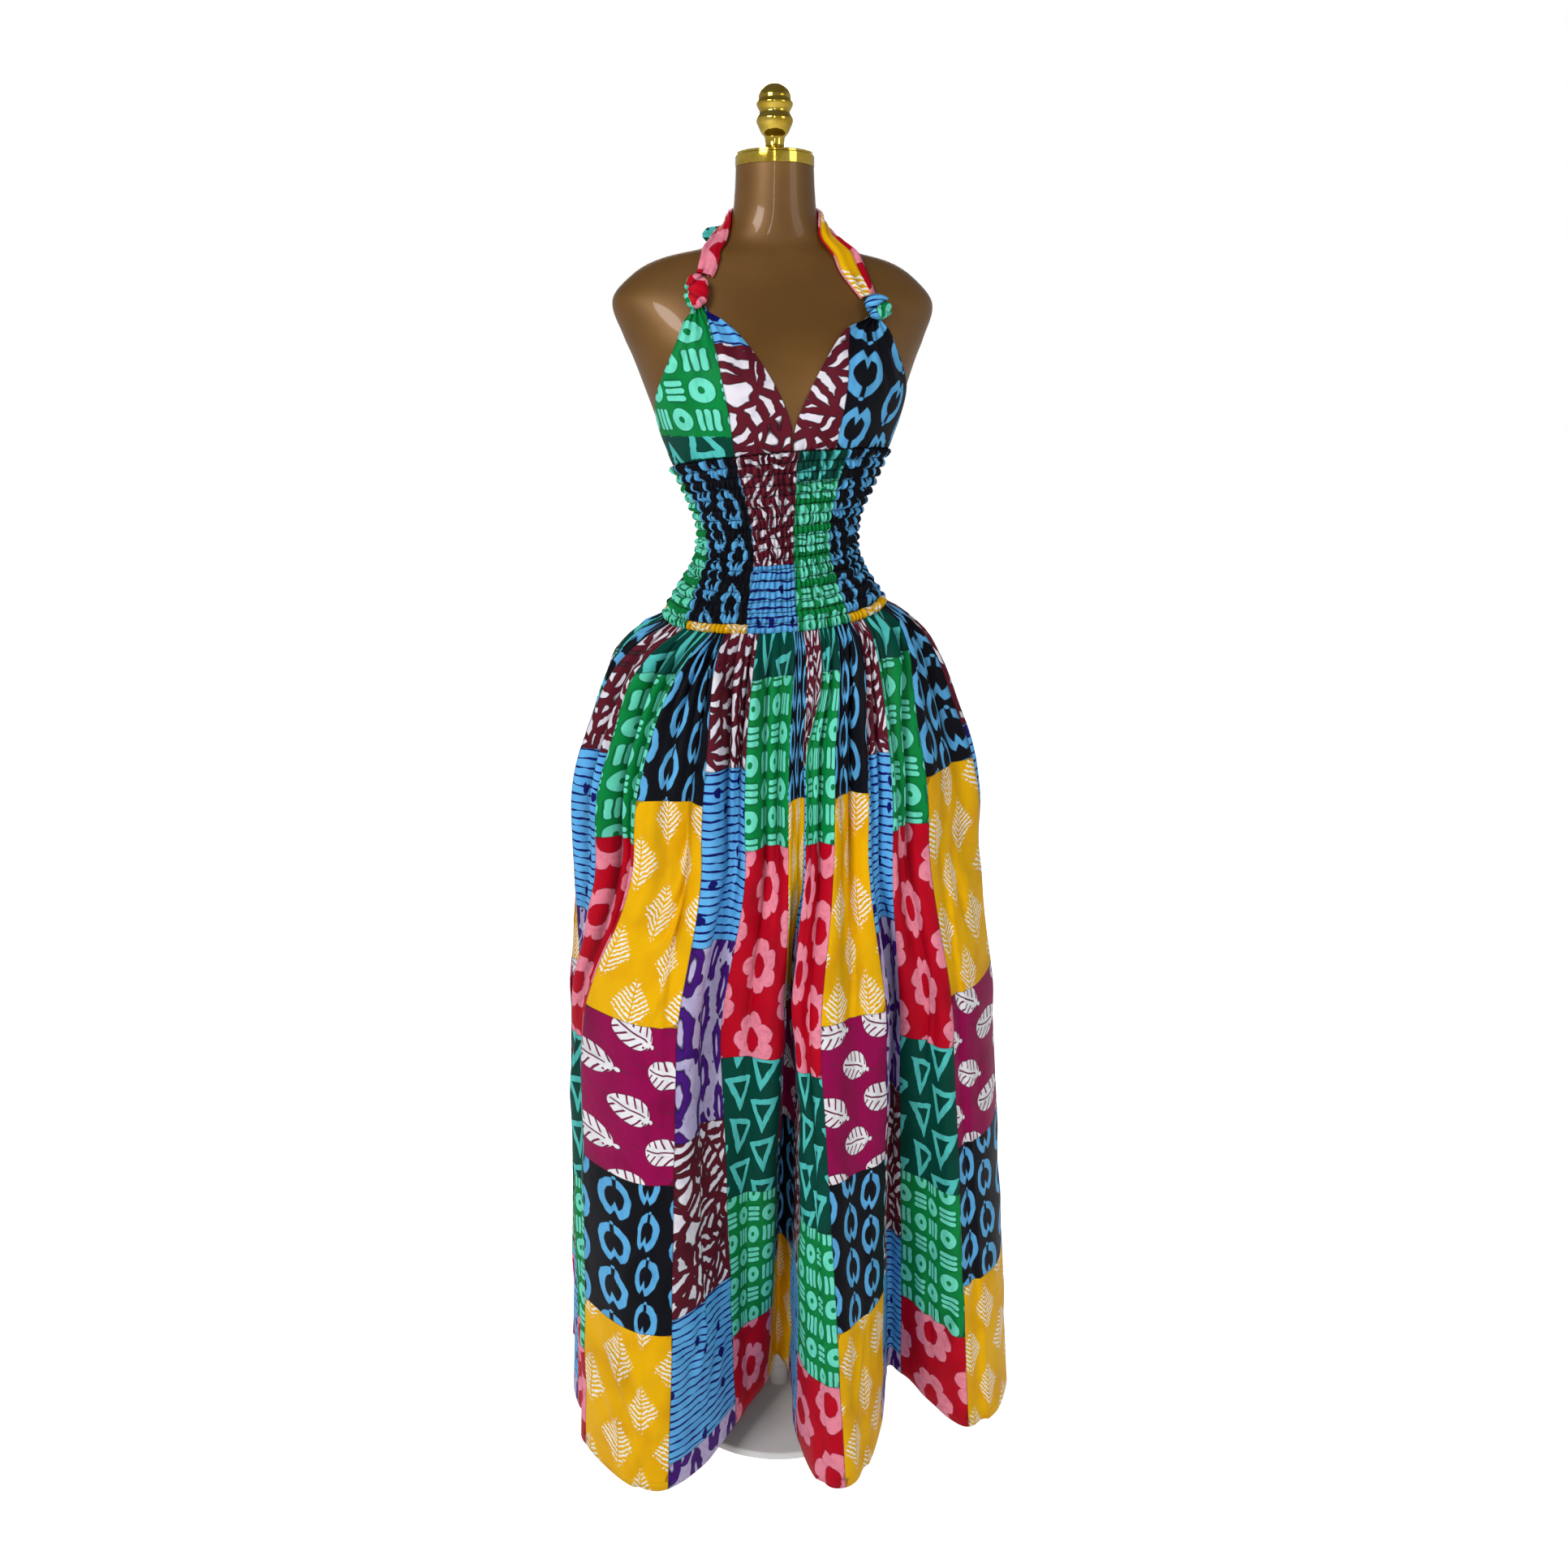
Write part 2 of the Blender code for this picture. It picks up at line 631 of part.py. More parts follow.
def make_tie(name, side, route, material):
    """A folded tie, drawn tight through its route; it bridges the hollow beside the neck."""
    rows = [(station, *skin_point(*place)) for station, place in enumerate(route)]
    last = len(route) - 1
    low_side = []
    high_side = []
    for station in range(TIE_STATIONS + 1):
        share = station / TIE_STATIONS
        centre = Vector(smooth_row(rows, last * share))
        before = Vector(smooth_row(rows, last * share - 0.05))
        after = Vector(smooth_row(rows, last * share + 0.05))
        angle, height, off = under_route(centre)
        around, upward = skin_slopes(angle, height)
        across = around.cross(upward).normalized().cross((after - before).normalized())
        width = smooth_row(TIE_WIDTHS, share)[0 if side < 0 else 1]
        low_row = []
        high_row = []
        for column in range(TIE_COLUMNS + 1):
            place = 2.0 * column / TIE_COLUMNS - 1.0
            at_angle, at_height = walk_on_skin(angle, height, across, place * width / 2)
            roundness = math.sqrt(1.0 - ALMOST_ALL * place ** 2)
            crown = TIE_THICKNESS * (TIE_EDGE + (1.0 - TIE_EDGE) * roundness)
            low = lifted_point(at_angle, at_height, TIE_CLEARANCE + off)
            high = lifted_point(at_angle, at_height, TIE_CLEARANCE + off + crown)
            low_row.append(Vector((side * low.x, low.y, low.z)))
            high_row.append(Vector((side * high.x, high.y, high.z)))
        low_side.append(low_row)
        high_side.append(high_row)
    return wall(name, material, high_side, low_side)


def make_knot(name, side, sizes, material):
    """A rounded knot that sits on the form, with a waist where the tie crosses over it."""
    centre_angle, centre_height, half_width, half_height, rise = sizes
    around, upward = skin_slopes(centre_angle, centre_height)
    per_metre = 1.0 / around.length
    climb = 1.0 / upward.length
    low_side = []
    high_side = []
    for row in range(KNOT_ROWS + 1):
        up = 2.0 * row / KNOT_ROWS - 1.0
        girth = math.sqrt(1.0 - KNOT_SLIMMING * up ** 2)
        low_row = []
        high_row = []
        for column in range(KNOT_COLUMNS + 1):
            across = 2.0 * column / KNOT_COLUMNS - 1.0
            angle = centre_angle + across * girth * half_width * per_metre
            height = centre_height + up * half_height * climb
            dome = math.sqrt(1.0 - ALMOST_ALL * across ** 2)
            off_crease = (up - KNOT_CREASE_SLANT * across) / KNOT_CREASE_HALF
            crossing = 1.0 - KNOT_CREASE * math.exp(-off_crease ** 2)
            top = CLEARANCE + rise * girth * dome * crossing
            low = lifted_point(angle, height, CLEARANCE)
            high = lifted_point(angle, height, top)
            low_row.append(Vector((side * low.x, low.y, low.z)))
            high_row.append(Vector((side * high.x, high.y, high.z)))
        low_side.append(low_row)
        high_side.append(high_row)
    return wall(name, material, high_side, low_side)


def make_ribbon(name, stations, material):
    """A flat piece through stations of centre, across direction, half width and thickness."""
    surface = Surface()
    rows = []
    for index, (centre, across, half_width, thickness) in enumerate(stations):
        before = stations[max(index - 1, 0)][0]
        after = stations[min(index + 1, len(stations) - 1)][0]
        face = (after - before).cross(across).normalized()
        ring = []
        for corner in range(RIBBON_SIDES):
            turn = 2 * math.pi * (corner + 0.5) / RIBBON_SIDES
            ring.append(centre + across.normalized() * half_width * math.cos(turn)
                        + face * thickness / 2 * math.sin(turn))
        rows.append(surface.row(ring))
    surface.quads(rows, closed=True)
    surface.cap(rows[0])
    surface.cap(rows[-1])
    return surface.build(name, material)


def make_bow(material):
    """Loops and tails of the bow at the nape, each clear of the knot by less than a millimetre."""
    knot_height = NAPE_KNOT[1]
    for side, name in ((-1, "bow_loop_left"), (1, "bow_loop_right")):
        stations = []
        for share, rise, half_width in LOOP_SECTIONS:
            swing = LOOP_SWING * math.sin(math.pi * share * 0.6)
            centre = Vector((side * (BOW_SIDE + LOOP_LENGTH * share),
                             NECK_MIDDLE + BOW_BEHIND + swing, knot_height + rise))
            stations.append((centre, Vector((0.0, 0.25, 1.0)), half_width, LOOP_THICKNESS))
        make_ribbon(name, stations, material)
    tail_top = knot_height - NAPE_KNOT[3] - TAIL_DROP
    for side, name in ((-1, "bow_tail_left"), (1, "bow_tail_right")):
        stations = []
        for share, turn, half_width in TAIL_SECTIONS:
            centre = lifted_point(180.0 - side * turn, tail_top - TAIL_LENGTH * share, TAIL_LIFT)
            stations.append((centre, Vector((1.0, 0.0, 0.18 * side)), half_width,
                             TAIL_THICKNESS))
        make_ribbon(name, stations, material)


def main():
    for leftover in list(bpy.data.objects):
        bpy.data.objects.remove(leftover)
    bronze = colour_material("form_bronze", (0.20, 0.09, 0.03), 0.35, 0.4)
    gold = colour_material("cap_gold", (0.75, 0.55, 0.15), 0.15, 1.0)
    steel = colour_material("stand_steel", (0.70, 0.70, 0.70), 0.35, 0.9)
    pale = colour_material("base_white", (0.85, 0.85, 0.84), 0.45)
    patchwork = colour_material("skirt_patchwork", (0.45, 0.05, 0.08), 0.6)
    smocking = colour_material("band_smocking", (0.02, 0.30, 0.14), 0.6)
    cup_cloth = colour_material("cup_cloth", (0.05, 0.25, 0.35), 0.6)
    tie_cloth = colour_material("tie_cloth", (0.60, 0.05, 0.10), 0.6)

    make_torso(bronze)
    make_neck_cap(gold)
    make_finial(gold)
    make_stand(steel, pale)
    make_band("band_front", -90.0, 90.0, smocking)
    make_band("band_back", 90.0, 270.0, smocking)
    make_skirt("skirt_front", FRONT_START, FRONT_END, patchwork)
    make_skirt("skirt_back", FRONT_END, FRONT_START + SWEEP, patchwork)
    make_cup("cup_left", -1, cup_cloth)
    make_cup("cup_right", 1, cup_cloth)
    make_tie("strap_left", -1, LEFT_TIE, tie_cloth)
    make_tie("strap_right", 1, RIGHT_TIE, tie_cloth)
    make_knot("knot_left", -1, LEFT_KNOT, tie_cloth)
    make_knot("knot_right", 1, RIGHT_KNOT, tie_cloth)
    make_knot("nape_knot", 1, NAPE_KNOT, tie_cloth)
    make_bow(tie_cloth)


main()
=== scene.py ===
"""Looks of the smocked halter maxi dress on its dress form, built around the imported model."""

import math

import bmesh
import bpy
import numpy as np
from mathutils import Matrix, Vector


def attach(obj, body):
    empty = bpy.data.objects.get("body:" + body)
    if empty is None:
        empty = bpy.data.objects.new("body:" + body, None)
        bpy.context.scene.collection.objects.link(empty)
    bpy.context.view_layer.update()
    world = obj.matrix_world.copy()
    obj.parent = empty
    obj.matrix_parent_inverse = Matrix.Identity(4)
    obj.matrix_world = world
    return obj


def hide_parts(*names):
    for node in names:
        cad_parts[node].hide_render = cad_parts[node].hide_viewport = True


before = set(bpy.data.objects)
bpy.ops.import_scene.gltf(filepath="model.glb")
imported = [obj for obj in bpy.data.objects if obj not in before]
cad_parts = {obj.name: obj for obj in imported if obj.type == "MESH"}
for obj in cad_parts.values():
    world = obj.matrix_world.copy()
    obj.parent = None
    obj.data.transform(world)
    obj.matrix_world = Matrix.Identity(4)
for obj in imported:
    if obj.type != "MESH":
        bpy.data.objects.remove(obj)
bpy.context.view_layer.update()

# Camera, as the photograph was taken
CAMERA_TURN = 10.0
CAMERA_DISTANCE = 1.76
CAMERA_SIDE = 0.008
CAMERA_HEIGHT = 1.367
CAMERA_PITCH = 15.0
FOCAL_PIXELS = 1760.0
PICTURE_PIXELS = 1932.0
SENSOR = 36.0

# Gaps and cloth
SEAM_GAP = 0.0003
CLEARANCE = 0.0009
CLOTH_SHOWN = 0.0006

# Form and stand, as in the solids
BASE_RADIUS = 0.150
BASE_THICKNESS = 0.010
POLE_RADIUS = 0.0125
FORM_BOTTOM = 0.740
FORM_TOP = 1.627
NECK_MIDDLE = 0.015
CAP_RADIUS = 0.0455
CAP_THICKNESS = 0.015
# height, half width, y of the widest point, depth in front of it, depth behind it
FORM_SECTIONS = (
    (0.740, 0.1480, 0.006, 0.100, 0.104),
    (0.800, 0.1600, 0.006, 0.110, 0.114),
    (0.900, 0.1670, 0.006, 0.116, 0.120),
    (1.000, 0.1620, 0.004, 0.112, 0.116),
    (1.080, 0.1470, 0.002, 0.104, 0.104),
    (1.125, 0.1300, 0.000, 0.096, 0.094),
    (1.145, 0.1180, 0.000, 0.091, 0.088),
    (1.165, 0.1040, 0.000, 0.087, 0.083),
    (1.185, 0.0945, 0.000, 0.084, 0.080),
    (1.205, 0.0915, 0.000, 0.083, 0.079),
    (1.230, 0.0945, 0.001, 0.085, 0.080),
    (1.267, 0.1090, 0.002, 0.092, 0.084),
    (1.300, 0.1250, 0.003, 0.101, 0.089),
    (1.335, 0.1390, 0.004, 0.108, 0.094),
    (1.371, 0.1520, 0.006, 0.110, 0.097),
    (1.417, 0.1690, 0.010, 0.102, 0.093),
    (1.440, 0.1790, 0.012, 0.094, 0.089),
    (1.479, 0.1910, 0.016, 0.078, 0.078),
    (1.505, 0.1720, 0.017, 0.066, 0.068),
    (1.5276, 0.1366, 0.018, 0.057, 0.060),
    (1.541, 0.0865, 0.018, 0.051, 0.054),
    (1.557, 0.0610, 0.017, 0.048, 0.050),
    (1.575, 0.0500, 0.016, 0.046, 0.048),
    (1.600, 0.0465, 0.015, 0.045, 0.046),
    (1.627, 0.0450, 0.015, 0.045, 0.045),
)
BUST_OUT = 0.072
BUST_HEIGHT = 1.385
BUST_RISE = 0.018
BUST_WIDTH = 0.048
BUST_SPREAD = 0.050
# height over the cap, radius
FINIAL_PROFILE = (
    (0.0000, 0.0160),
    (0.0040, 0.0145),
    (0.0066, 0.0114),
    (0.0166, 0.0116),
    (0.0207, 0.0150),
    (0.0253, 0.0175),
    (0.0353, 0.0212),
    (0.0434, 0.0178),
    (0.0523, 0.0212),
    (0.0561, 0.0192),
    (0.0625, 0.0180),
    (0.0680, 0.0145),
    (0.0720, 0.0090),
    (0.0740, 0.0030),
)

# Smocked band
BAND_LOW = 1.119
BAND_LOW_DIP = 0.014
BAND_HIGH = 1.303
BAND_HIGH_RISE = 0.010
BAND_TILT = 0.009
SMOCK_ROWS = 17
SMOCK_ROW = 0.0127
RIBS_IN_HALF = 60
RIB_STEPS = 6
RIB_HEIGHT = 0.0072
WAIST_RADIUS = 0.095
BAND_LIFT = 0.0014
THREAD_SINK = 0.0012
# Lift of the top row's ruffle, and its further lift on the ribs
RUFFLE = (0.0010, 0.0030)
ROW_TREMBLE = 0.0009
SHIRRED_CLOTH = 0.0003
SMOCK_ROW_STEPS = 5

# Skirt: 27 strips of patches; the table has a row for each fold line, with metres along the
# cloth from the front centre, angle at the seam, angle at the upper ring, x and y at the
# middle ring, and x, y and z at the hem
STRIP = 0.115
STRIPS = 27
SWEEP = STRIP * STRIPS
SKIRT_LENGTH = 1.085
SKIRT_LIFT = 0.0024
UPPER_HEIGHT = 0.860
MIDDLE_HEIGHT = 0.600
UPPER_HALF = 0.262
UPPER_DEPTH = 0.180
SKIRT_SPREAD_POWER = 2.2
FRONT_FIRST_STRIP = -6
FRONT_LAST_STRIP = 7
FOLD_LINES = (
    (-0.690, -90.0, -110.0, -0.268, 0.056, -0.278, 0.068, 0.050),
    (-0.600, -79.0, -86.0, -0.246, 0.030, -0.262, 0.035, 0.055),
    (-0.520, -68.0, -71.0, -0.268, 0.006, -0.290, -0.004, 0.050),
    (-0.460, -59.0, -61.0, -0.268, -0.020, -0.284, -0.048, 0.048),
    (-0.345, -41.0, -46.0, -0.257, -0.087, -0.276, -0.124, 0.045),
    (-0.285, -36.0, -35.0, -0.204, -0.158, -0.228, -0.205, 0.045),
    (-0.230, -32.0, -25.0, -0.147, -0.177, -0.181, -0.222, 0.045),
    (-0.175, -24.0, -19.5, -0.116, -0.147, -0.129, -0.185, 0.045),
    (-0.115, -16.0, -14.5, -0.095, -0.136, -0.082, -0.128, 0.050),
    (-0.055, -7.0, -8.5, -0.056, -0.156, -0.051, -0.093, 0.055),
    (0.000, 1.0, -4.2, -0.023, -0.160, -0.027, -0.057, 0.060),
    (0.065, 3.5, -1.2, -0.006, -0.078, -0.006, -0.022, 0.070),
    (0.115, 5.6, 1.4, 0.007, -0.105, 0.008, -0.061, 0.065),
    (0.230, 13.5, 4.4, -0.002, -0.189, -0.003, -0.170, 0.050),
    (0.305, 18.5, 6.4, 0.003, -0.207, 0.013, -0.250, 0.045),
    (0.345, 22.5, 8.6, 0.018, -0.211, 0.042, -0.258, 0.045),
    (0.405, 27.5, 12.5, 0.060, -0.204, 0.078, -0.226, 0.045),
    (0.460, 32.3, 17.5, 0.103, -0.182, 0.109, -0.162, 0.050),
    (0.520, 37.0, 21.0, 0.118, -0.118, 0.140, -0.076, 0.065),
    (0.575, 42.0, 24.6, 0.135, -0.135, 0.161, -0.079, 0.060),
    (0.635, 55.0, 30.0, 0.159, -0.163, 0.191, -0.135, 0.050),
    (0.690, 68.6, 36.8, 0.187, -0.173, 0.224, -0.180, 0.045),
    (0.755, 80.0, 52.0, 0.238, -0.133, 0.275, -0.153, 0.045),
    (0.805, 90.0, 65.0, 0.268, -0.082, 0.306, -0.095, 0.050),
    (0.880, 98.0, 84.0, 0.277, -0.020, 0.317, -0.026, 0.050),
    (0.970, 107.0, 103.0, 0.258, 0.050, 0.290, 0.050, 0.050),
    (1.050, 116.0, 118.0, 0.208, 0.082, 0.222, 0.086, 0.062),
    (1.130, 126.0, 130.0, 0.206, 0.140, 0.232, 0.160, 0.050),
    (1.220, 138.0, 142.0, 0.156, 0.185, 0.178, 0.226, 0.045),
    (1.310, 149.0, 154.0, 0.090, 0.172, 0.103, 0.190, 0.050),
    (1.390, 159.0, 163.0, 0.064, 0.122, 0.070, 0.112, 0.066),
    (1.480, 171.0, 172.0, 0.030, 0.165, 0.036, 0.172, 0.050),
    (1.570, 182.0, 180.0, -0.008, 0.198, -0.006, 0.240, 0.045),
    (1.660, 194.0, 191.0, -0.060, 0.182, -0.064, 0.200, 0.050),
    (1.740, 205.0, 201.0, -0.088, 0.130, -0.096, 0.122, 0.066),
    (1.830, 217.0, 212.0, -0.124, 0.162, -0.134, 0.172, 0.050),
    (1.930, 229.0, 223.0, -0.178, 0.174, -0.196, 0.206, 0.045),
    (2.030, 240.0, 231.5, -0.226, 0.140, -0.246, 0.162, 0.048),
    (2.110, 248.0, 237.0, -0.212, 0.106, -0.220, 0.110, 0.060),
    (2.210, 256.0, 241.5, -0.236, 0.104, -0.260, 0.126, 0.050),
    (2.320, 264.0, 245.5, -0.262, 0.086, -0.284, 0.104, 0.048),
)
# Prints of the three kinds of strip, each from the waist down: print, metres to its lower edge
STRIP_PRINTS = (
    (("black", 0.190), ("yellow", 0.465), ("magenta", 0.670), ("black", 0.870),
     ("yellow", 1.085)),
    (("maroon", 0.150), ("blue", 0.365), ("purple", 0.615), ("maroon", 0.850),
     ("blue", 1.050), ("purple", 1.085)),
    (("pine", 0.045), ("green", 0.245), ("red", 0.530), ("pine", 0.735), ("green", 0.945),
     ("red", 1.085)),
)
TUCK_REACH = 0.009
TUCK_SINK = 0.0017
FOLD_STEP = 0.004
WAVE_LENGTH_SHARE = 4.4
# Height of the wrinkles, their width along the cloth, their reach down it, and the seed
FINE_WRINKLES = (0.0010, 0.022, 0.085, 61)
BROAD_WRINKLES = (0.0016, 0.060, 0.050, 62)
SEAM_SWELL = 0.0022
# gather depth at which the painted shade in a fold's valley is full
PAINTED_SHADE_DEPTH = 0.009
SKIRT_COLUMNS_IN_STRIP = 28
SKIRT_ROW = 0.010
HEM_STITCH = 0.012
TUCKED_UNDER = 0.0035
# A small tuck that closes the narrow front fold: cloth position, sideways and inward
FRONT_TUCK = (
    (0.000, 0.000, 0.000), (0.060, -0.001, 0.004), (0.115, -0.007, 0.009),
    (0.170, -0.009, 0.012), (0.230, -0.016, 0.002), (0.300, -0.009, 0.000),
    (0.345, -0.003, 0.000), (0.405, 0.000, 0.000),
)
# Creases, listed one by one: from a place along and down the cloth to another, width, depth
CREASES = (
    (-0.238, 0.205, -0.312, 0.440, 0.008, 0.0042),
    (-0.246, 0.200, -0.338, 0.400, 0.007, 0.0034),
    (-0.252, 0.225, -0.345, 0.330, 0.007, 0.0030),
    (-0.232, 0.250, -0.276, 0.460, 0.007, 0.0030),
    (-0.262, 0.700, -0.330, 0.860, 0.008, 0.0030),
    (-0.336, 0.885, -0.262, 1.050, 0.009, 0.0045),
    (-0.340, 0.930, -0.292, 1.060, 0.008, 0.0036),
    (-0.318, 0.880, -0.236, 1.010, 0.008, 0.0034),
    (-0.225, 0.870, -0.190, 0.960, 0.007, 0.0030),
    (-0.180, 0.860, -0.216, 0.990, 0.007, 0.0030),
    (-0.135, 0.900, -0.170, 1.030, 0.007, 0.0032),
    (0.250, 0.620, 0.330, 0.800, 0.008, 0.0030),
    (0.420, 0.330, 0.385, 0.520, 0.008, 0.0032),
    (0.400, 0.860, 0.350, 1.040, 0.008, 0.0034),
    (0.660, 0.380, 0.610, 0.600, 0.008, 0.0034),
    (0.700, 0.820, 0.640, 1.020, 0.009, 0.0040),
    (-0.600, 0.300, -0.540, 0.520, 0.009, 0.0036),
    (-0.560, 0.780, -0.620, 0.980, 0.009, 0.0036),
    (-0.430, 0.500, -0.500, 0.700, 0.008, 0.0034),
    (0.860, 0.300, 0.930, 0.520, 0.009, 0.0036),
    (0.960, 0.740, 0.900, 0.960, 0.009, 0.0040),
    (1.160, 0.340, 1.220, 0.560, 0.009, 0.0036),
    (1.320, 0.760, 1.260, 0.980, 0.009, 0.0040),
    (1.500, 0.420, 1.430, 0.620, 0.009, 0.0036),
    (1.640, 0.820, 1.580, 1.030, 0.009, 0.0042),
    (1.800, 0.330, 1.870, 0.540, 0.009, 0.0036),
    (1.960, 0.760, 1.900, 0.980, 0.009, 0.0040),
    (2.130, 0.400, 2.200, 0.620, 0.009, 0.0036),
    (2.280, 0.820, 2.220, 1.020, 0.009, 0.0040),
)
# Gathers, widest first: metres of cloth in one, and how strong it is at cloth depths
GATHER_WAVES = (
    (0.1150, ((0.00, 0.00), (0.10, 0.35), (0.25, 0.70), (0.45, 0.66), (0.70, 0.50),
              (1.09, 0.42))),
    (0.0575, ((0.00, 0.20), (0.05, 0.95), (0.18, 0.98), (0.32, 0.62), (0.52, 0.20),
              (1.09, 0.10))),
    (0.02875, ((0.00, 0.95), (0.04, 0.75), (0.10, 0.36), (0.22, 0.12), (0.40, 0.00),
               (1.09, 0.00))),
)
GATHER_LEAN = 0.62
GATHER_FILL = 0.98
# Cloth position and how freely it gathers there: little inside the narrow front fold
GATHER_FREEDOM = (
    (-0.690, 1.0), (-0.100, 0.9), (-0.030, 0.5), (0.020, 0.12), (0.180, 0.12), (0.270, 0.35),
    (0.360, 0.8), (0.470, 0.7), (0.520, 0.35), (0.600, 0.7), (0.850, 1.1), (1.100, 1.25),
    (2.200, 1.25), (2.415, 1.0),
)

# Cups: height, angle of the outer edge, angle of the neckline edge; both cups use it, mirrored
CUP_EDGES = (
    (1.3000, 88.0, 0.30),
    (1.3250, 94.0, 0.60),
    (1.3550, 83.0, 4.30),
    (1.3920, 61.0, 10.5),
    (1.4250, 47.0, 16.6),
    (1.4420, 41.5, 20.5),
    (1.4600, 36.5, 26.0),
)
CUP_TOP = {-1: 1.460, 1: 1.4514}
CUP_PUFF = 0.007
CUP_LIFT = 0.0012
CUP_FOLDS = 5.0
CUP_GATHER_DEPTH = 0.0036
FINE_FOLDS = 11.0
FINE_GATHER = 0.0014
FOOT_FOLDS = 26.0
FOOT_FOLD = 0.0018
CUP_WAVE = 0.0014
CUP_SLOPE = 1.08
CHEST_RADIUS = 0.115
NECKLINE_RADIUS = 0.105
CUP_PUFF_START = 0.08
CUP_PUFF_SPAN = 0.85

# Ties and knots: routes as angle and height, knots as centre angle, centre height, half width,
# half height and rise
TIE_CLEARANCE = 0.0012
# share of the way from the knot to the nape, width of the left tie, of the right one
TIE_WIDTHS = (
    (0.00, 0.0185, 0.0190),
    (0.10, 0.0200, 0.0262),
    (0.25, 0.0207, 0.0325),
    (0.50, 0.0207, 0.0310),
    (0.75, 0.0200, 0.0225),
    (1.00, 0.0190, 0.0190),
)
TIE_THICKNESS = 0.0042
TIE_CREASE = 0.0013
KNOT_GIRTH = 0.110
KNOT_SLANT = 0.45
SKIN_STEPS = 5
LEFT_TIE = ((31.0, 1.5030), (32.2, 1.5156), (37.0, 1.5285), (87.0, 1.5640), (115.0, 1.5740),
            (142.0, 1.5770), (166.0, 1.5770))
RIGHT_TIE = ((30.2, 1.4818), (29.3, 1.5000), (30.0, 1.5160), (36.5, 1.5320), (55.0, 1.5500),
             (84.0, 1.5680), (112.0, 1.5755), (142.0, 1.5770), (166.0, 1.5770))
LEFT_KNOT = (31.5, 1.4815, 0.0135, 0.0205, 0.0165)
RIGHT_KNOT = (32.8, 1.4668, 0.0160, 0.0144, 0.0180)
NAPE_KNOT = (180.0, 1.5770, 0.0105, 0.0135, 0.0150)
BOW_SIDE = 0.0117
BOW_BEHIND = 0.0566
LOOP_LENGTH = 0.064
LOOP_SWING = 0.020
LOOP_THICKNESS = 0.0075
# share of the way out, rise, half width
LOOP_SECTIONS = (
    (0.00, 0.000, 0.0055),
    (0.18, -0.003, 0.0082),
    (0.45, -0.010, 0.0095),
    (0.72, -0.015, 0.0096),
    (0.92, -0.016, 0.0085),
    (1.00, -0.0165, 0.0035),
)
TAIL_DROP = 0.0016
TAIL_LENGTH = 0.105
TAIL_LIFT = 0.0039
# share of the way down, degrees from the middle of the back, half width
TAIL_SECTIONS = (
    (0.00, 7.0, 0.0055),
    (0.25, 8.25, 0.0100),
    (0.60, 10.0, 0.0120),
    (1.00, 12.0, 0.0125),
)


# Reading tables and noise

def smoothstep(share):
    share = np.clip(share, 0.0, 1.0)
    return share * share * (3.0 - 2.0 * share)


def read_table(rows, at):
    """The other columns of a table, read smoothly at values of its first column."""
    rows = np.array(rows, float)
    keys = rows[:, 0]
    at = np.clip(np.asarray(at, float), keys[0], keys[-1])
    here = np.clip(np.searchsorted(keys, at, side="right") - 1, 0, len(keys) - 2)
    before = np.maximum(here - 1, 0)
    after = np.minimum(here + 2, len(keys) - 1)
    length = keys[here + 1] - keys[here]
    share = ((at - keys[here]) / length)[..., None]
    start, end = rows[here, 1:], rows[here + 1, 1:]
    leaving = (end - rows[before, 1:]) / (keys[here + 1] - keys[before])[..., None]
    arriving = (rows[after, 1:] - start) / (keys[after] - keys[here])[..., None]
    leaving = leaving * length[..., None]
    arriving = arriving * length[..., None]
    cube, square = share ** 3, share ** 2
    value = ((2 * cube - 3 * square + 1) * start + (cube - 2 * square + share) * leaving
             + (3 * square - 2 * cube) * end + (cube - square) * arriving)
    return [value[..., column] for column in range(value.shape[-1])]


def read_line(rows, at):
    rows = np.array(rows, float)
    return np.interp(at, rows[:, 0], rows[:, 1])


def soft_noise(x, y, seed):
    """Smooth noise from -1 to 1 that varies over about one unit of x and of y."""
    grid = np.random.default_rng(seed).uniform(-1.0, 1.0, (64, 64))
    x, y = np.broadcast_arrays(np.asarray(x, float), np.asarray(y, float))
    left, low = np.floor(x).astype(int), np.floor(y).astype(int)
    across, up = smoothstep(x - left), smoothstep(y - low)

    def corner(i, j):
        return grid[(left + i) % 64, (low + j) % 64]

    bottom = corner(0, 0) * (1 - across) + corner(1, 0) * across
    top = corner(0, 1) * (1 - across) + corner(1, 1) * across
    return bottom * (1 - up) + top * up


def unit(vectors):
    return vectors / np.maximum(np.linalg.norm(vectors, axis=-1, keepdims=True), 1e-12)


def walked_along(points):
    """Distance walked to each of a line of points."""
    return np.concatenate([[0.0], np.cumsum(np.linalg.norm(np.diff(points, axis=0), axis=-1))])


# The form's surface

def skin_point(angle, height):
    angle, height = np.broadcast_arrays(np.asarray(angle, float), np.asarray(height, float))
    half, middle, front, back = read_table(FORM_SECTIONS, height)
    turn = np.radians(angle)
    x = half * np.sin(turn)
    rise = 0.0
    for side in (-1, 1):
        across = (x - side * BUST_OUT) / BUST_WIDTH
        upright = (height - BUST_HEIGHT) / BUST_SPREAD
        rise = rise + BUST_RISE * np.exp(-across ** 2 - upright ** 2)
    facing = np.cos(turn)
    y = np.where(facing < 0.0, middle - back * facing, middle - (front + rise) * facing)
    return np.stack([x, y, height], axis=-1)


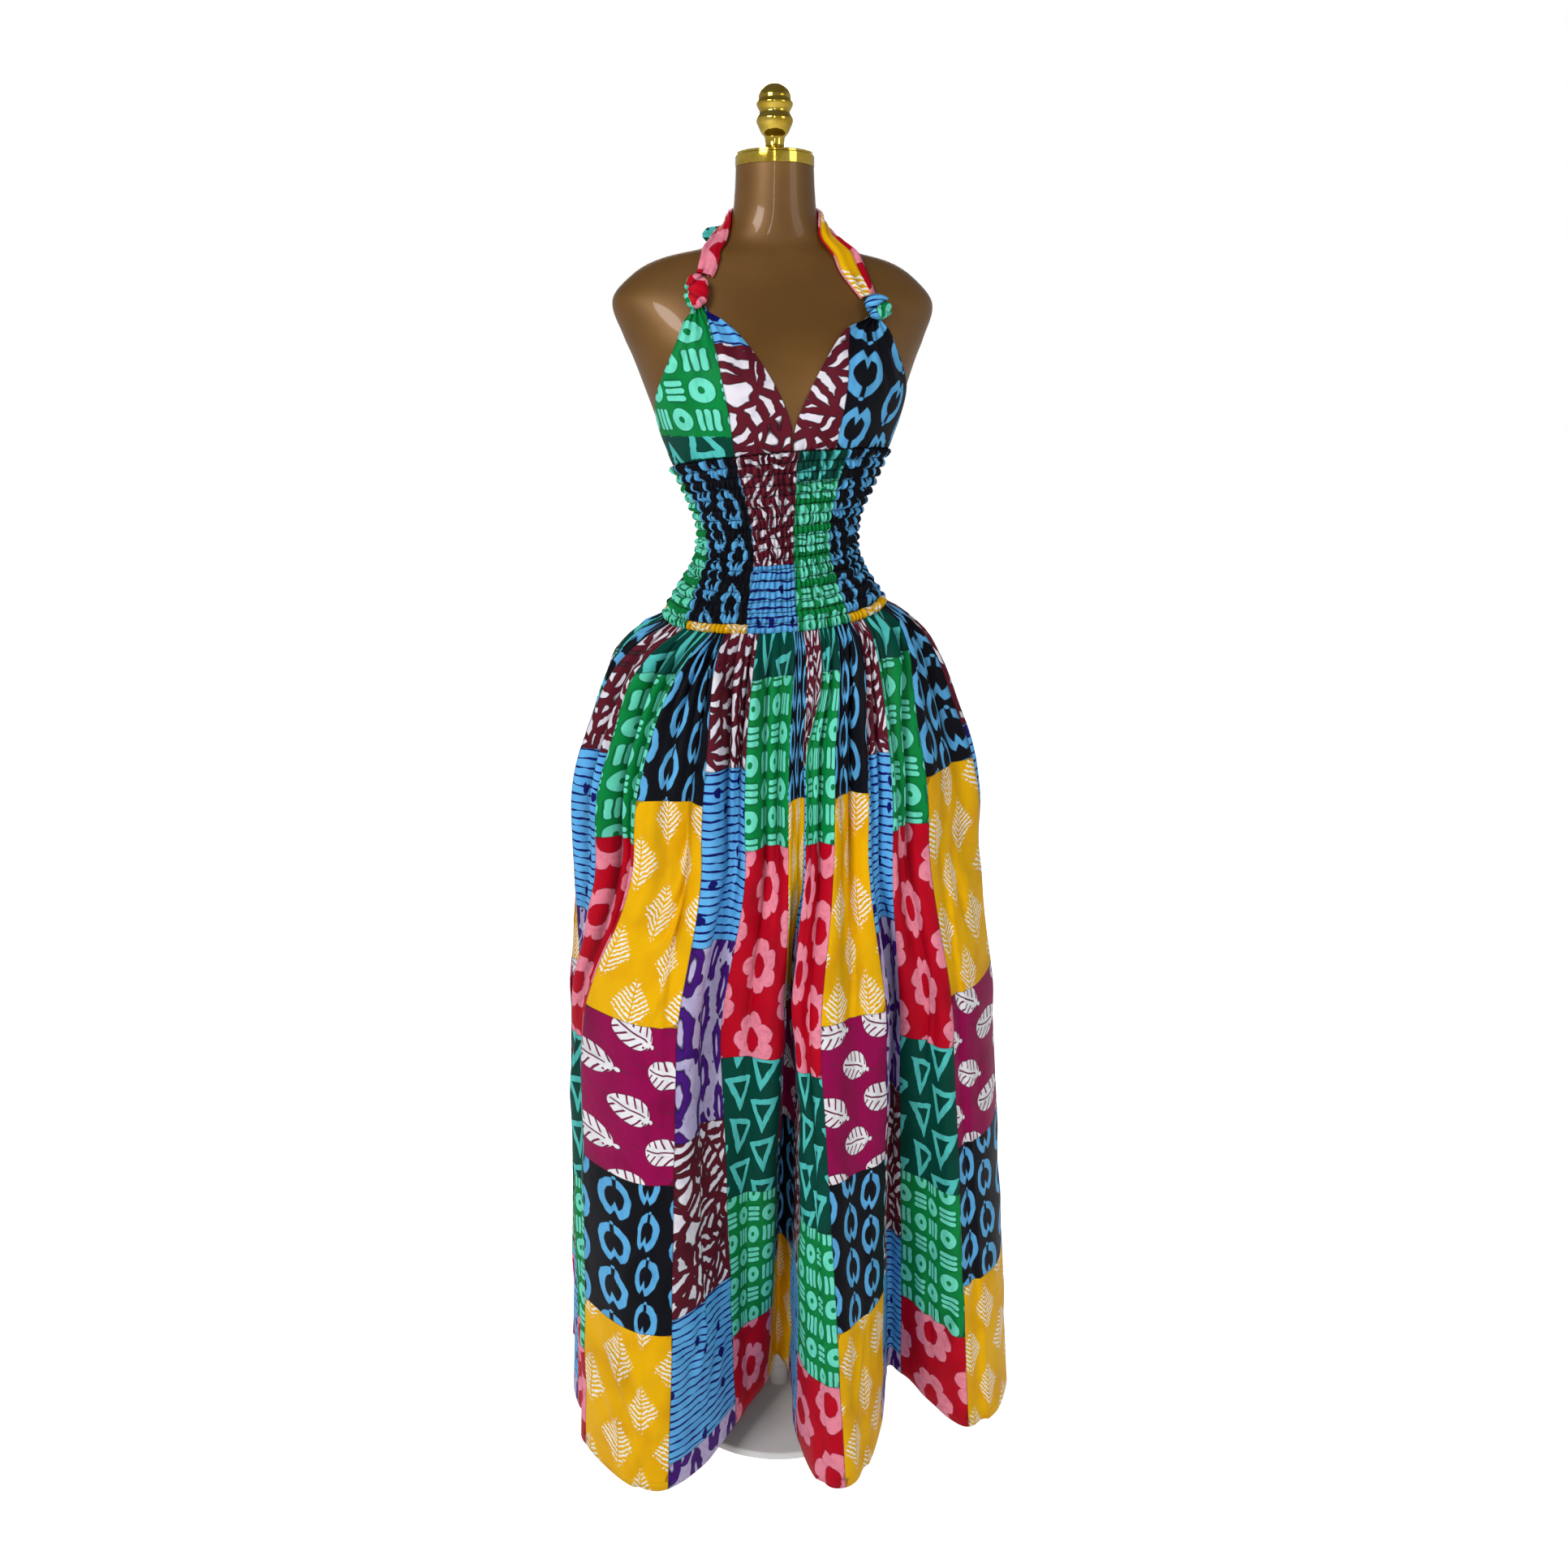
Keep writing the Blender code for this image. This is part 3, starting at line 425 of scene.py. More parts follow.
def skin_slopes(angle, height):
    turn, climb = 0.5, 0.001
    angle, height = np.broadcast_arrays(np.asarray(angle, float), np.asarray(height, float))
    around = (skin_point(angle + turn, height) - skin_point(angle - turn, height)) / (2 * turn)
    low = np.maximum(height - climb, FORM_BOTTOM)
    high = np.minimum(height + climb, FORM_TOP)
    upward = (skin_point(angle, high) - skin_point(angle, low)) / (high - low)[..., None]
    return around, upward


def lifted_point(angle, height, lift):
    around, upward = skin_slopes(angle, height)
    outward = unit(np.cross(around, upward))
    return skin_point(angle, height) + outward * np.asarray(lift)[..., None]


def band_low(angle):
    turn = np.radians(angle)
    return BAND_LOW - BAND_LOW_DIP * np.cos(turn) + BAND_TILT * np.sin(turn)


def band_high(angle):
    turn = np.radians(angle)
    return BAND_HIGH + BAND_HIGH_RISE * np.cos(turn) + BAND_TILT * np.sin(turn)


# Nodes: a Field is a number that a material works out at each point

MILLIMETRES = 1000.0


def calculation(operation):
    """A method of Field that adds one kind of math node."""
    def method(field, *others):
        return field.math(operation, *others)
    return method


class Field:
    """A socket of a node tree with arithmetic on it."""

    def __init__(self, tree, socket):
        self.tree = tree
        self.socket = socket

    def math(self, operation, *others, clamp=False):
        node = self.tree.nodes.new("ShaderNodeMath")
        node.operation = operation
        node.use_clamp = clamp
        for place, value in enumerate((self, *others)):
            if isinstance(value, Field):
                self.tree.links.new(value.socket, node.inputs[place])
            else:
                node.inputs[place].default_value = value
        return Field(self.tree, node.outputs[0])

    __add__ = __radd__ = calculation("ADD")
    __sub__ = calculation("SUBTRACT")
    __mul__ = __rmul__ = calculation("MULTIPLY")
    __truediv__ = calculation("DIVIDE")
    __abs__ = calculation("ABSOLUTE")
    lower = calculation("MINIMUM")
    upper = calculation("MAXIMUM")
    below = calculation("LESS_THAN")
    above = calculation("GREATER_THAN")
    floor = calculation("FLOOR")
    fraction = calculation("FRACT")
    wave = calculation("SINE")
    cosine = calculation("COSINE")
    power = calculation("POWER")
    bearing = calculation("ARCTAN2")

    def __rsub__(self, other):
        return self * -1.0 + other

    def __neg__(self):
        return self * -1.0

    def clamped(self):
        return self.math("ADD", 0.0, clamp=True)

    def odd(self):
        """1 where a whole number is odd."""
        return (self * 0.5).fraction() * 2.0

    def toward(self, other, share):
        return self + (other - self) * share


def length(x, y):
    return (x * x + y * y).math("SQRT")


def inside(distance, softness=0.35):
    """1 inside a shape and 0 outside it, from its distance in millimetres."""
    node = distance.tree.nodes.new("ShaderNodeMapRange")
    node.interpolation_type = "SMOOTHSTEP"
    node.inputs["From Min"].default_value = softness
    node.inputs["From Max"].default_value = -softness
    distance.tree.links.new(distance.socket, node.inputs["Value"])
    return Field(distance.tree, node.outputs["Result"])


class Cloth:
    """A print's drawing board: millimetres along and down the cloth, and the tools to draw."""

    def __init__(self, tree):
        self.tree = tree
        place = self.new("ShaderNodeUVMap")
        place.uv_map = "cloth"
        along, down, _ = self.parts(place.outputs["UV"])
        self.flat_u = along * MILLIMETRES
        self.flat_v = down * -MILLIMETRES
        wander = 2.6
        self.u = self.flat_u + (self.noise(15.0, 15.0, 0.0) - 0.5) * wander
        self.v = self.flat_v + (self.noise(15.0, 15.0, 7.0) - 0.5) * wander

    def new(self, kind):
        return self.tree.nodes.new(kind)

    def attribute(self, name):
        node = self.new("ShaderNodeAttribute")
        node.attribute_name = name
        return node

    def parts(self, vector):
        node = self.new("ShaderNodeSeparateXYZ")
        self.tree.links.new(vector, node.inputs[0])
        return [Field(self.tree, node.outputs[axis]) for axis in "XYZ"]

    def point(self, x, y, z=0.0):
        node = self.new("ShaderNodeCombineXYZ")
        for name, value in zip("XYZ", (x, y, z)):
            if isinstance(value, Field):
                self.tree.links.new(value.socket, node.inputs[name])
            else:
                node.inputs[name].default_value = value
        return node.outputs[0]

    def noise(self, width, height, seed, detail=1.0, u=None, v=None):
        u = self.flat_u if u is None else u
        v = self.flat_v if v is None else v
        node = self.new("ShaderNodeTexNoise")
        node.inputs["Scale"].default_value = 1.0
        node.inputs["Detail"].default_value = detail
        self.tree.links.new(self.point(u / width, v / height, seed), node.inputs["Vector"])
        return Field(self.tree, node.outputs["Fac"])

    def cells(self, width, height, seed, feature, u=None, v=None, randomness=0.9):
        u = self.u if u is None else u
        v = self.v if v is None else v
        node = self.new("ShaderNodeTexVoronoi")
        node.voronoi_dimensions = "2D"
        node.feature = feature
        node.inputs["Scale"].default_value = 1.0
        node.inputs["Randomness"].default_value = randomness
        self.tree.links.new(self.point(u / width + seed, v / height + seed),
                            node.inputs["Vector"])
        return node

    def chance(self, i, j, seed):
        node = self.new("ShaderNodeTexWhiteNoise")
        self.tree.links.new(self.point(i, j, seed), node.inputs["Vector"])
        return Field(self.tree, node.outputs["Value"])

    def lattice(self, width, height, stagger=0.5, shift_u=0.0, shift_v=0.0):
        """Millimetres from the middle of the cell, and the cell's column and row."""
        across = (self.u + shift_u) / width
        i = across.floor()
        down = (self.v + shift_v) / height + i.odd() * stagger
        j = down.floor()
        return (across - i - 0.5) * width, (down - j - 0.5) * height, i, j

    def turned(self, x, y, angle):
        sine = angle.wave()
        cosine = (angle + math.pi / 2).wave()
        return x * cosine - y * sine, x * sine + y * cosine

    def mix(self, share, one, other):
        """Colour one where share is 0 and the other where it is 1."""
        node = self.new("ShaderNodeMix")
        node.data_type = "RGBA"
        for name, value in (("A_Color", one), ("B_Color", other)):
            socket = next(s for s in node.inputs if s.identifier == name)
            if isinstance(value, tuple):
                socket.default_value = (*value, 1.0)
            else:
                self.tree.links.new(value, socket)
        self.tree.links.new(share.socket, node.inputs[0])
        return next(s for s in node.outputs if s.identifier == "Result_Color")


def srgb(red, green, blue):
    """A colour as linear light, from its 0 to 255 values."""
    values = (red / 255.0, green / 255.0, blue / 255.0)
    return tuple(v / 12.92 if v <= 0.04045 else ((v + 0.055) / 1.055) ** 2.4 for v in values)


def brushed(cloth, dyes, seed, width, height):
    """Uneven dye: brush strokes of the second shade over the first."""
    strokes = cloth.noise(width, height, seed, detail=2.0)
    share = ((strokes - 0.47) * 5.0).clamped() * 0.55
    return cloth.mix(share, *[srgb(*dye) for dye in dyes])


# Dyes of each print, for its ground and then its motif: the dye and its darker shade, and the
# seed, width and height of its brush strokes. Last is the line that batik leaves round a motif.
DYES = {
    "green": (((4, 134, 64), (3, 112, 52)), (1, 30, 60),
              ((112, 226, 198), (84, 204, 172)), (2, 7, 22), (2, 84, 44)),
    "pine": (((0, 70, 58), (0, 58, 46)), (4, 30, 60),
             ((84, 198, 192), (64, 172, 164)), (5, 7, 22), (0, 38, 34)),
    "black": (((13, 15, 23), (7, 8, 14)), (9, 30, 60),
              ((96, 176, 228), (72, 150, 208)), (10, 7, 22), (6, 8, 18)),
    "maroon": (((98, 24, 40), (76, 16, 30)), (15, 30, 60),
               ((232, 227, 236), (204, 200, 216)), (16, 9, 14), (40, 8, 18)),
    "blue": (((98, 180, 238), (74, 156, 222)), (22, 24, 40),
             ((18, 20, 104), (12, 14, 80)), (23, 7, 22), None),
    "red": (((190, 2, 32), (160, 0, 26)), (27, 30, 70),
            ((240, 140, 160), (214, 104, 130)), (28, 9, 9), (150, 20, 50)),
    "yellow": (((238, 180, 0), (220, 152, 0)), (33, 40, 60),
               ((244, 242, 226), (244, 242, 226)), (34, 7, 22), None),
    "magenta": (((148, 6, 78), (124, 0, 62)), (42, 40, 60),
                ((238, 236, 240), (206, 204, 214)), (43, 9, 12), (84, 0, 42)),
    "purple": (((72, 22, 122), (54, 12, 98)), (52, 30, 60),
               ((192, 182, 218), (160, 150, 198)), (53, 9, 22), (30, 8, 60)),
}


def dyed(cloth, name, distance, softness=0.35, halo=None):
    """The print's colours, from its motif as a distance. A halo softly tints the ground."""
    ground_dyes, ground_strokes, motif_dyes, motif_strokes, outline = DYES[name]
    colour = brushed(cloth, ground_dyes, *ground_strokes)
    if halo is not None:
        colour = cloth.mix(inside(halo, 1.2) * 0.10, colour, srgb(206, 128, 0))
    colour = cloth.mix(inside(distance, softness), colour,
                       brushed(cloth, motif_dyes, *motif_strokes))
    if outline is None:
        return colour
    return cloth.mix(inside(abs(distance) - 0.55, 0.4) * 0.85, colour, srgb(*outline))


# The nine prints

def green_print(cloth):
    x, y, i, j = cloth.lattice(30.0, 33.0, stagger=0.0, shift_u=4.0, shift_v=5.0)
    circle = (length(x, y * 0.94) - 12.9).upper(3.2 - length(x * 1.15, y))
    turned = j.odd()
    along = y.toward(x, turned)
    across = x.toward(y, turned)
    pitch = 8.3
    nearest = ((across / pitch + 0.5).fraction() - 0.5) * pitch
    bar = (length((abs(along) - 9.6).upper(0.0), nearest) - 3.5).upper(abs(across) - 12.8)
    distance = circle.toward(bar, (i + j).odd())
    return dyed(cloth, "green", distance)


def pine_print(cloth):
    x, y, i, j = cloth.lattice(50.0, 63.0, shift_u=10.0, shift_v=18.0)
    x, y = cloth.turned(x, y, (cloth.chance(i, j, 3.0) - 0.5) * 0.5)
    x = x + y * 0.12
    side = abs(x) * 0.898 + y * 0.438 - 13.5
    triangle = side.upper(-y - 23.0) + (cloth.noise(13.0, 13.0, 6.0) - 0.5) * 3.0
    distance = abs(triangle + 4.5) - 4.5
    return dyed(cloth, "pine", distance)


def black_print(cloth):
    x, y, i, j = cloth.lattice(46.0, 61.0, shift_u=8.0, shift_v=30.0)
    x, y = cloth.turned(x, y, (cloth.chance(i, j, 8.0) - 0.5) * 0.6)
    sway = (cloth.noise(14.0, 14.0, 12.0) - 0.5) * 3.2
    loop = (length(x / 18.0, y / 26.5) - 1.0) * 20.5 + sway
    ring = abs(loop + 4.6) - 4.6
    gap = (abs(x) - 1.9).upper(y + 9.0)
    tooth = (abs(x) - (y - 3.0) * 0.36).upper(y - 23.0)
    cleft = abs(x) - (y - 17.0) * 0.60
    bead = length(x, y + 27.0) - 2.6
    distance = ring.upper(-gap).lower(tooth).upper(-cleft).lower(bead)
    return dyed(cloth, "black", distance)


def maroon_print(cloth):
    warp = (cloth.noise(24.0, 24.0, 11.0) - 0.5) * 15.0
    u, v = cloth.u + warp, cloth.v - warp
    edge = Field(cloth.tree, cloth.cells(29.0, 35.0, 3.3, "DISTANCE_TO_EDGE", u, v)
                 .outputs["Distance"]) * 31.0
    pick = cloth.new("ShaderNodeSeparateColor")
    cloth.tree.links.new(cloth.cells(29.0, 35.0, 3.3, "F1", u, v).outputs["Color"],
                         pick.inputs[0])
    slant = Field(cloth.tree, pick.outputs[0]) * 12.0
    stroke_pitch = 15.0
    step = (u * slant.cosine() + v * slant.wave()) / stroke_pitch
    wobble = (cloth.noise(9.0, 9.0, 13.0) - 0.5) * 6.0
    stroke = abs(step.fraction() - 0.5) * stroke_pitch - 3.9 + wobble
    blob = 1.9 - abs(cloth.noise(20.0, 26.0, 14.0, detail=0.0) - 0.5) * 24.0
    distance = stroke.toward(blob, Field(cloth.tree, pick.outputs[1]).above(0.70))
    distance = distance.upper(3.2 - edge)
    return dyed(cloth, "maroon", distance)


def blue_print(cloth):
    sway = (cloth.noise(46.0, 60.0, 17.0) - 0.5) * 9.0
    pitch = 10.6
    row = (cloth.v + sway) / pitch
    across = (row.fraction() - 0.5) * pitch
    weight = cloth.noise(16.0, 9.0, 18.0)
    line = abs(across) - (weight - 0.14) * 3.4
    tick = (abs(cloth.noise(9.0, 30.0, 20.0, detail=0.0) - 0.62) * 60.0 + 0.1).upper(
        abs(across) - 3.6)
    spot = cloth.cells(54.0, 66.0, 5.1, "F1")
    blot = (Field(cloth.tree, spot.outputs["Distance"])
            - 0.02 - cloth.noise(6.0, 9.0, 21.0, detail=2.0) * 0.16) * 55.0
    distance = line.lower(blot).lower(tick)
    return dyed(cloth, "blue", distance, softness=0.4)


def red_print(cloth):
    x, y, i, j = cloth.lattice(77.0, 103.0, shift_u=20.0, shift_v=8.0)
    y = y * 0.95
    radius = length(x, y)
    turn = y.bearing(x) + cloth.chance(i, j, 25.0) * 6.28
    lobe = abs((turn * 3.5).wave()).power(0.50)
    reach = lobe * 9.5 + 28.0 + (cloth.noise(20.0, 20.0, 26.0) - 0.5) * 9.0
    distance = (radius - reach).upper(15.0 - length(x * 1.08, y * 0.95)
                                      + (cloth.noise(9.0, 9.0, 24.0) - 0.5) * 5.0)
    return dyed(cloth, "red", distance)


def feather(cloth, x, y):
    """A diamond feather: its distance, and the brush strokes that slant up from its rib."""
    ragged = (cloth.noise(2.6, 2.6, 30.0) - 0.5) * 11.0
    diamond = (abs(x) / 21.0 + abs(y - 2.0) / 35.0 - 1.0) * 15.0 + ragged
    slant = (y + abs(x) * 0.9 + (cloth.noise(5.0, 10.0, 31.0) - 0.5) * 5.0) / 6.8
    broken = (cloth.noise(3.2, 3.2, 32.0) - 0.5) * 3.6
    stroke = abs(slant.fraction() - 0.5) * 6.8 - 1.55 + broken
    rib = 0.8 - abs(x)
    return diamond, stroke.upper(rib)


def yellow_print(cloth):
    one, one_strokes = feather(cloth, *cloth.lattice(74.0, 118.0, 0.0, 3.0, 30.0)[:2])
    two, two_strokes = feather(cloth, *cloth.lattice(74.0, 118.0, 0.0, 40.0, 89.0)[:2])
    outline = one.lower(two)
    distance = outline.upper(one_strokes.toward(two_strokes, two.below(one)))
    return dyed(cloth, "yellow", distance, softness=0.45, halo=outline)


def leaf(cloth, shift_u, shift_v, seed):
    """A broad leaf with slits, a rib, a stalk and a speck: what is white in it, as a distance."""
    x, y, i, j = cloth.lattice(92.0, 100.0, 0.0, shift_u, shift_v)
    tilt = 0.30 + (cloth.chance(i, j, seed) - 0.5) * 0.5
    x, y = cloth.turned(x * 1.13, y * 1.13, -tilt)
    full = (1.0 - (x / 30.0) * (x / 30.0)).upper(0.0).power(0.55)
    body = abs(y + x * 0.04) - full * 21.0
    slit = (1.0 - abs(((x + abs(y) * 0.55) / 11.5).fraction() - 0.5) * 11.5).lower(
        abs(y) - 6.0)
    rib = (0.75 - abs(y + (x * 0.09).wave() * 1.2)).lower(20.0 - x).lower(x + 27.0)
    speck = 1.2 - length(x - 19.0, y - 9.0)
    stalk = (length(x - 34.0, y) - 3.8).lower((abs(y) - 2.4).upper(abs(x - 31.0) - 4.0))
    return body.upper(slit).upper(rib).upper(speck).lower(stalk)


def magenta_print(cloth):
    leaves = leaf(cloth, 12.0, 24.0, 40.0).lower(leaf(cloth, 58.0, 74.0, 41.0))
    return dyed(cloth, "magenta", leaves)


def purple_print(cloth):
    warp = (cloth.noise(30.0, 46.0, 50.0) - 0.5) * 20.0
    x, y, i, j = cloth.lattice(34.0, 82.0, shift_u=6.0, shift_v=20.0)
    oval = length((x + warp * 0.6) / 11.5, (y + warp) / 33.0) * -11.5 + 11.5
    oval = oval + (cloth.noise(11.0, 20.0, 54.0) - 0.5) * 9.0
    gap = (cloth.noise(22.0, 30.0, 55.0) - 0.60) * 60.0
    core = length((x + warp * 0.6) / 3.4, (y + warp) / 17.0) * 3.4 - 3.4
    distance = oval.upper(gap).lower(core)
    fleck = abs(cloth.noise(4.0, 7.0, 51.0, detail=0.0) - 0.76) * 30.0 - 0.3
    colour = dyed(cloth, "purple", distance)
    return cloth.mix(inside(fleck, 0.4) * 0.7, colour, srgb(30, 10, 50))


PRINTS = {
    "green": green_print, "pine": pine_print, "black": black_print, "maroon": maroon_print,
    "blue": blue_print, "red": red_print, "yellow": yellow_print, "magenta": magenta_print,
    "purple": purple_print,
}


def new_material(name):
    material = bpy.data.materials.new(name)
    material.use_nodes = True
    return material, material.node_tree, material.node_tree.nodes["Principled BSDF"]


# How far each mark darkens the dye, a thread's at least and where it is whole; the ink of each
# mark, the last of which is painted shade in the folds, and the relief of the weave and its wrinkles
SEAM_MARK = 0.55
THREAD_MARK = (0.50, 0.35)
MOTTLE_MARK = 0.70
# strength of the painted shade that darkens the cloth in its folds
PAINTED_SHADE_MARK = 0.72
INK_AND_SHADE = {"seam": (20, 12, 20), "thread": (10, 10, 22), "mottle": (16, 14, 24),
       "hollow": (8, 6, 12)}
WEAVE_PITCH = 0.42
WEAVE_RELIEF = 0.020
WRINKLE_RELIEF = 1.3


def print_material(name):
    """A print on thin rayon: weave, a dark line at the patch's edge, the shirring's threads and
    painted shade in the folds.
    """
    material, tree, shader = new_material("rayon_" + name)
    cloth = Cloth(tree)
    colour = PRINTS[name](cloth)

    to_edge, phase, shirred = cloth.parts(cloth.attribute("marks").outputs["Vector"])
    to_edge = to_edge * MILLIMETRES
    hollow = Field(tree, cloth.attribute("hollow").outputs["Fac"])

    wobble = (cloth.noise(9.0, 9.0, 60.0) - 0.5) * 0.8
    seam = inside(to_edge - 0.55 + wobble, 0.5) * SEAM_MARK
    colour = cloth.mix(seam, colour, srgb(*INK_AND_SHADE["seam"]))
    row = abs((phase + 0.5 + (cloth.noise(4.0, 40.0, 61.0) - 0.5) * 0.10).fraction() - 0.5)
    thread = inside((row - 0.042) * (SMOCK_ROW * MILLIMETRES), 0.35) * shirred
    dashes = inside((0.40 - cloth.noise(3.0, 30.0, 65.0)) * 12.0, 0.6)
    colour = cloth.mix(thread * (dashes * THREAD_MARK[1] + THREAD_MARK[0]), colour,
                       srgb(*INK_AND_SHADE["thread"]))
    mottle = cloth.noise(55.0, 90.0, 62.0, detail=3.0)
    shade = ((mottle - 0.5) * MOTTLE_MARK).clamped()
    colour = cloth.mix(shade, colour, srgb(*INK_AND_SHADE["mottle"]))
    # painted shade: darkens the dye where the shell lies deep between folds
    colour = cloth.mix(hollow * PAINTED_SHADE_MARK, colour, srgb(*INK_AND_SHADE["hollow"]))
    tree.links.new(colour, shader.inputs["Base Color"])

    gloss = cloth.noise(20.0, 34.0, 63.0, detail=2.0) * 0.16 + 0.44
    tree.links.new(gloss.socket, shader.inputs["Roughness"])
    shader.inputs["Specular IOR Level"].default_value = 0.07
    shader.inputs["Sheen Weight"].default_value = 0.01
    shader.inputs["Sheen Roughness"].default_value = 0.45

    warp = (cloth.flat_u * (2.0 * math.pi / WEAVE_PITCH)).wave()
    weft = (cloth.flat_v * (2.0 * math.pi / WEAVE_PITCH)).wave()
    wrinkle = cloth.noise(8.0, 26.0, 64.0, detail=3.0) * WRINKLE_RELIEF
    height = (warp * weft) * WEAVE_RELIEF + wrinkle - thread * 0.5 - seam * 0.25
    bump = cloth.new("ShaderNodeBump")
    bump.inputs["Strength"].default_value = 0.45
    bump.inputs["Distance"].default_value = 0.0010
    tree.links.new(height.socket, bump.inputs["Height"])
    tree.links.new(bump.outputs["Normal"], shader.inputs["Normal"])
    return material


MATERIALS = {name: print_material(name) for name in PRINTS}


# Pieces

def add_object(name, data):
    made = bpy.data.objects.new(name, data)
    bpy.context.scene.collection.objects.link(made)
    return made


def fit(piece):
    """Fits a piece to the solid that it shows, whose node bears its name up to the last word."""
    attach(piece, "root")
    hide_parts(piece.name.rpartition("_")[0])
    return piece


def shell(name, points, flat, prints, to_edge, smock=None, hollow=None,
          thickness=CLOTH_SHOWN):
    """A thin shell from a grid of points. flat holds the metres along and down the cloth at
    each point, prints the name of each face's print, to_edge the distance to the patch's edge,
    smock the smocking row and the shade grid how deep between folds it lies, at each point,
    for painted shade that darkens the cloth in its folds."""
    rows, columns = points.shape[:2]
    index = np.arange(rows * columns).reshape(rows, columns)
    faces = np.stack([index[1:, :-1], index[1:, 1:], index[:-1, 1:], index[:-1, :-1]],
                     axis=-1).reshape(-1, 4)
    mesh = bpy.data.meshes.new(name)
    mesh.from_pydata(points.reshape(-1, 3), [], faces)
    corners = faces.reshape(-1)
    places = flat.reshape(-1, 2)[corners]
    low, high = places.min(axis=0), places.max(axis=0)
    for layer, laid in (("cloth", places), ("OFBake", 0.01 + 0.98 * (places - low) / (high - low))):
        made = mesh.uv_layers.new(name=layer)
        made.uv.foreach_set("vector", laid.astype(np.float32).reshape(-1))
    marks = np.zeros((rows * columns, 3), np.float32)
    marks[:, 0] = to_edge.reshape(-1)
    if smock is not None:
        marks[:, 1] = smock.reshape(-1)
        marks[:, 2] = 1.0
    mesh.attributes.new("marks", "FLOAT_VECTOR", "POINT").data.foreach_set(
        "vector", marks.reshape(-1))
    # how much painted shade each point gets, for the fold darkening in the print materials
    depth = np.zeros(rows * columns, np.float32)
    if hollow is not None:
        depth[:] = np.clip(hollow, 0.0, 1.0).reshape(-1)
    mesh.attributes.new("hollow", "FLOAT", "POINT").data.foreach_set("value", depth)
    slots = np.zeros(prints.shape, np.int32)
    for print_name in PRINTS:
        if (prints == print_name).any():
            slots[prints == print_name] = len(mesh.materials)
            mesh.materials.append(MATERIALS[print_name])
    mesh.polygons.foreach_set("material_index", slots.reshape(-1))
    mesh.shade_smooth()
    piece = add_object(name, mesh)
    if thickness:
        solid = piece.modifiers.new("thickness", "SOLIDIFY")
        solid.thickness = thickness
        solid.offset = -1.0
        solid.use_quality_normals = True
    return piece


def face_middles(values):
    return (values[1:, 1:] + values[:-1, 1:] + values[1:, :-1] + values[:-1, :-1]) / 4


def print_names(choose, *places):
    return np.vectorize(choose, otypes=["U8"])(*places)


def print_at(patches, down):
    """Print of a column of patches, given with the depths of their lower edges, at a depth."""
    return next((name for name, lower_edge in patches if down < lower_edge), patches[-1][0])


# Skirt

def strip_print(along, down):
    return print_at(STRIP_PRINTS[math.floor(along / STRIP) % 3], down)


def skirt_edge_distance(along, down):
    """Distance to the nearest edge of the patch, along the cloth and down it."""
    strip = np.floor(along / STRIP + 1e-6).astype(int)
    sideways = np.abs(along / STRIP - np.round(along / STRIP)) * STRIP
    distance = sideways
    for kind, patches in enumerate(STRIP_PRINTS):
        edges = np.array([edge for _, edge in patches[:-1]])
        downward = np.abs(down[..., None] - edges).min(axis=-1)
        distance = np.where(strip % 3 == kind, np.minimum(sideways, downward), distance)
    return np.minimum(distance, np.abs(down - (SKIRT_LENGTH - HEM_STITCH)) + 0.0002)


def skirt_rows():
    """Rows down the skirt, with one on each edge of a patch."""
    edges = sorted({0.0, 0.0030} | {edge for patches in STRIP_PRINTS for _, edge in patches})
    rows = [0.0]
    for start, end in zip(edges, edges[1:]):
        steps = max(1, round((end - start) / SKIRT_ROW))
        rows.extend(start + (end - start) * step / steps for step in range(1, steps + 1))
    return np.array(rows)


def skirt_base(along, down):
    """The skirt's large folds, as the solids have them."""
    lines = []
    for lap in (-1, 0, 1):
        for cloth, seam, upper, *places in FOLD_LINES:
            lines.append((cloth + lap * SWEEP, seam + lap * 360.0, upper + lap * 360.0, *places))
    seam, upper, middle_x, middle_y, hem_x, hem_y, hem_z = read_table(lines, along)
    tucked = smoothstep(1.0 - down / TUCK_REACH)
    top = lifted_point(seam, band_low(seam) - SEAM_GAP + TUCKED_UNDER * tucked,
                       SKIRT_LIFT - TUCK_SINK * tucked)
    turn = np.radians(upper)
    upper_place = np.stack([UPPER_HALF * np.sin(turn), -UPPER_DEPTH * np.cos(turn)], axis=-1)
    middle = np.stack([middle_x, middle_y], axis=-1)
    hem = np.stack([hem_x, hem_y], axis=-1)
    height = top[..., 2] + (hem_z - top[..., 2]) * (down / SKIRT_LENGTH)
    first = 1.0 - (1.0 - np.clip((top[..., 2] - height) / (top[..., 2] - UPPER_HEIGHT), 0, 1)
                   ) ** SKIRT_SPREAD_POWER
    second = smoothstep((UPPER_HEIGHT - height) / (UPPER_HEIGHT - MIDDLE_HEIGHT))
    third = np.clip((MIDDLE_HEIGHT - height) / (MIDDLE_HEIGHT - hem_z), 0, 1)
    place = top[..., :2] + (upper_place - top[..., :2]) * first[..., None]
    place = place + (middle - upper_place) * second[..., None] * (first >= 1.0)[..., None]
    place = place + (hem - middle) * third[..., None]
    within = smoothstep((down - 0.05) / 0.10) * (1.0 - smoothstep((down - 0.40) / 0.20))
    tuck = np.stack(read_table(FRONT_TUCK, along), axis=-1)
    place = place + tuck * within[..., None]
    return np.concatenate([place, height[..., None]], axis=-1)


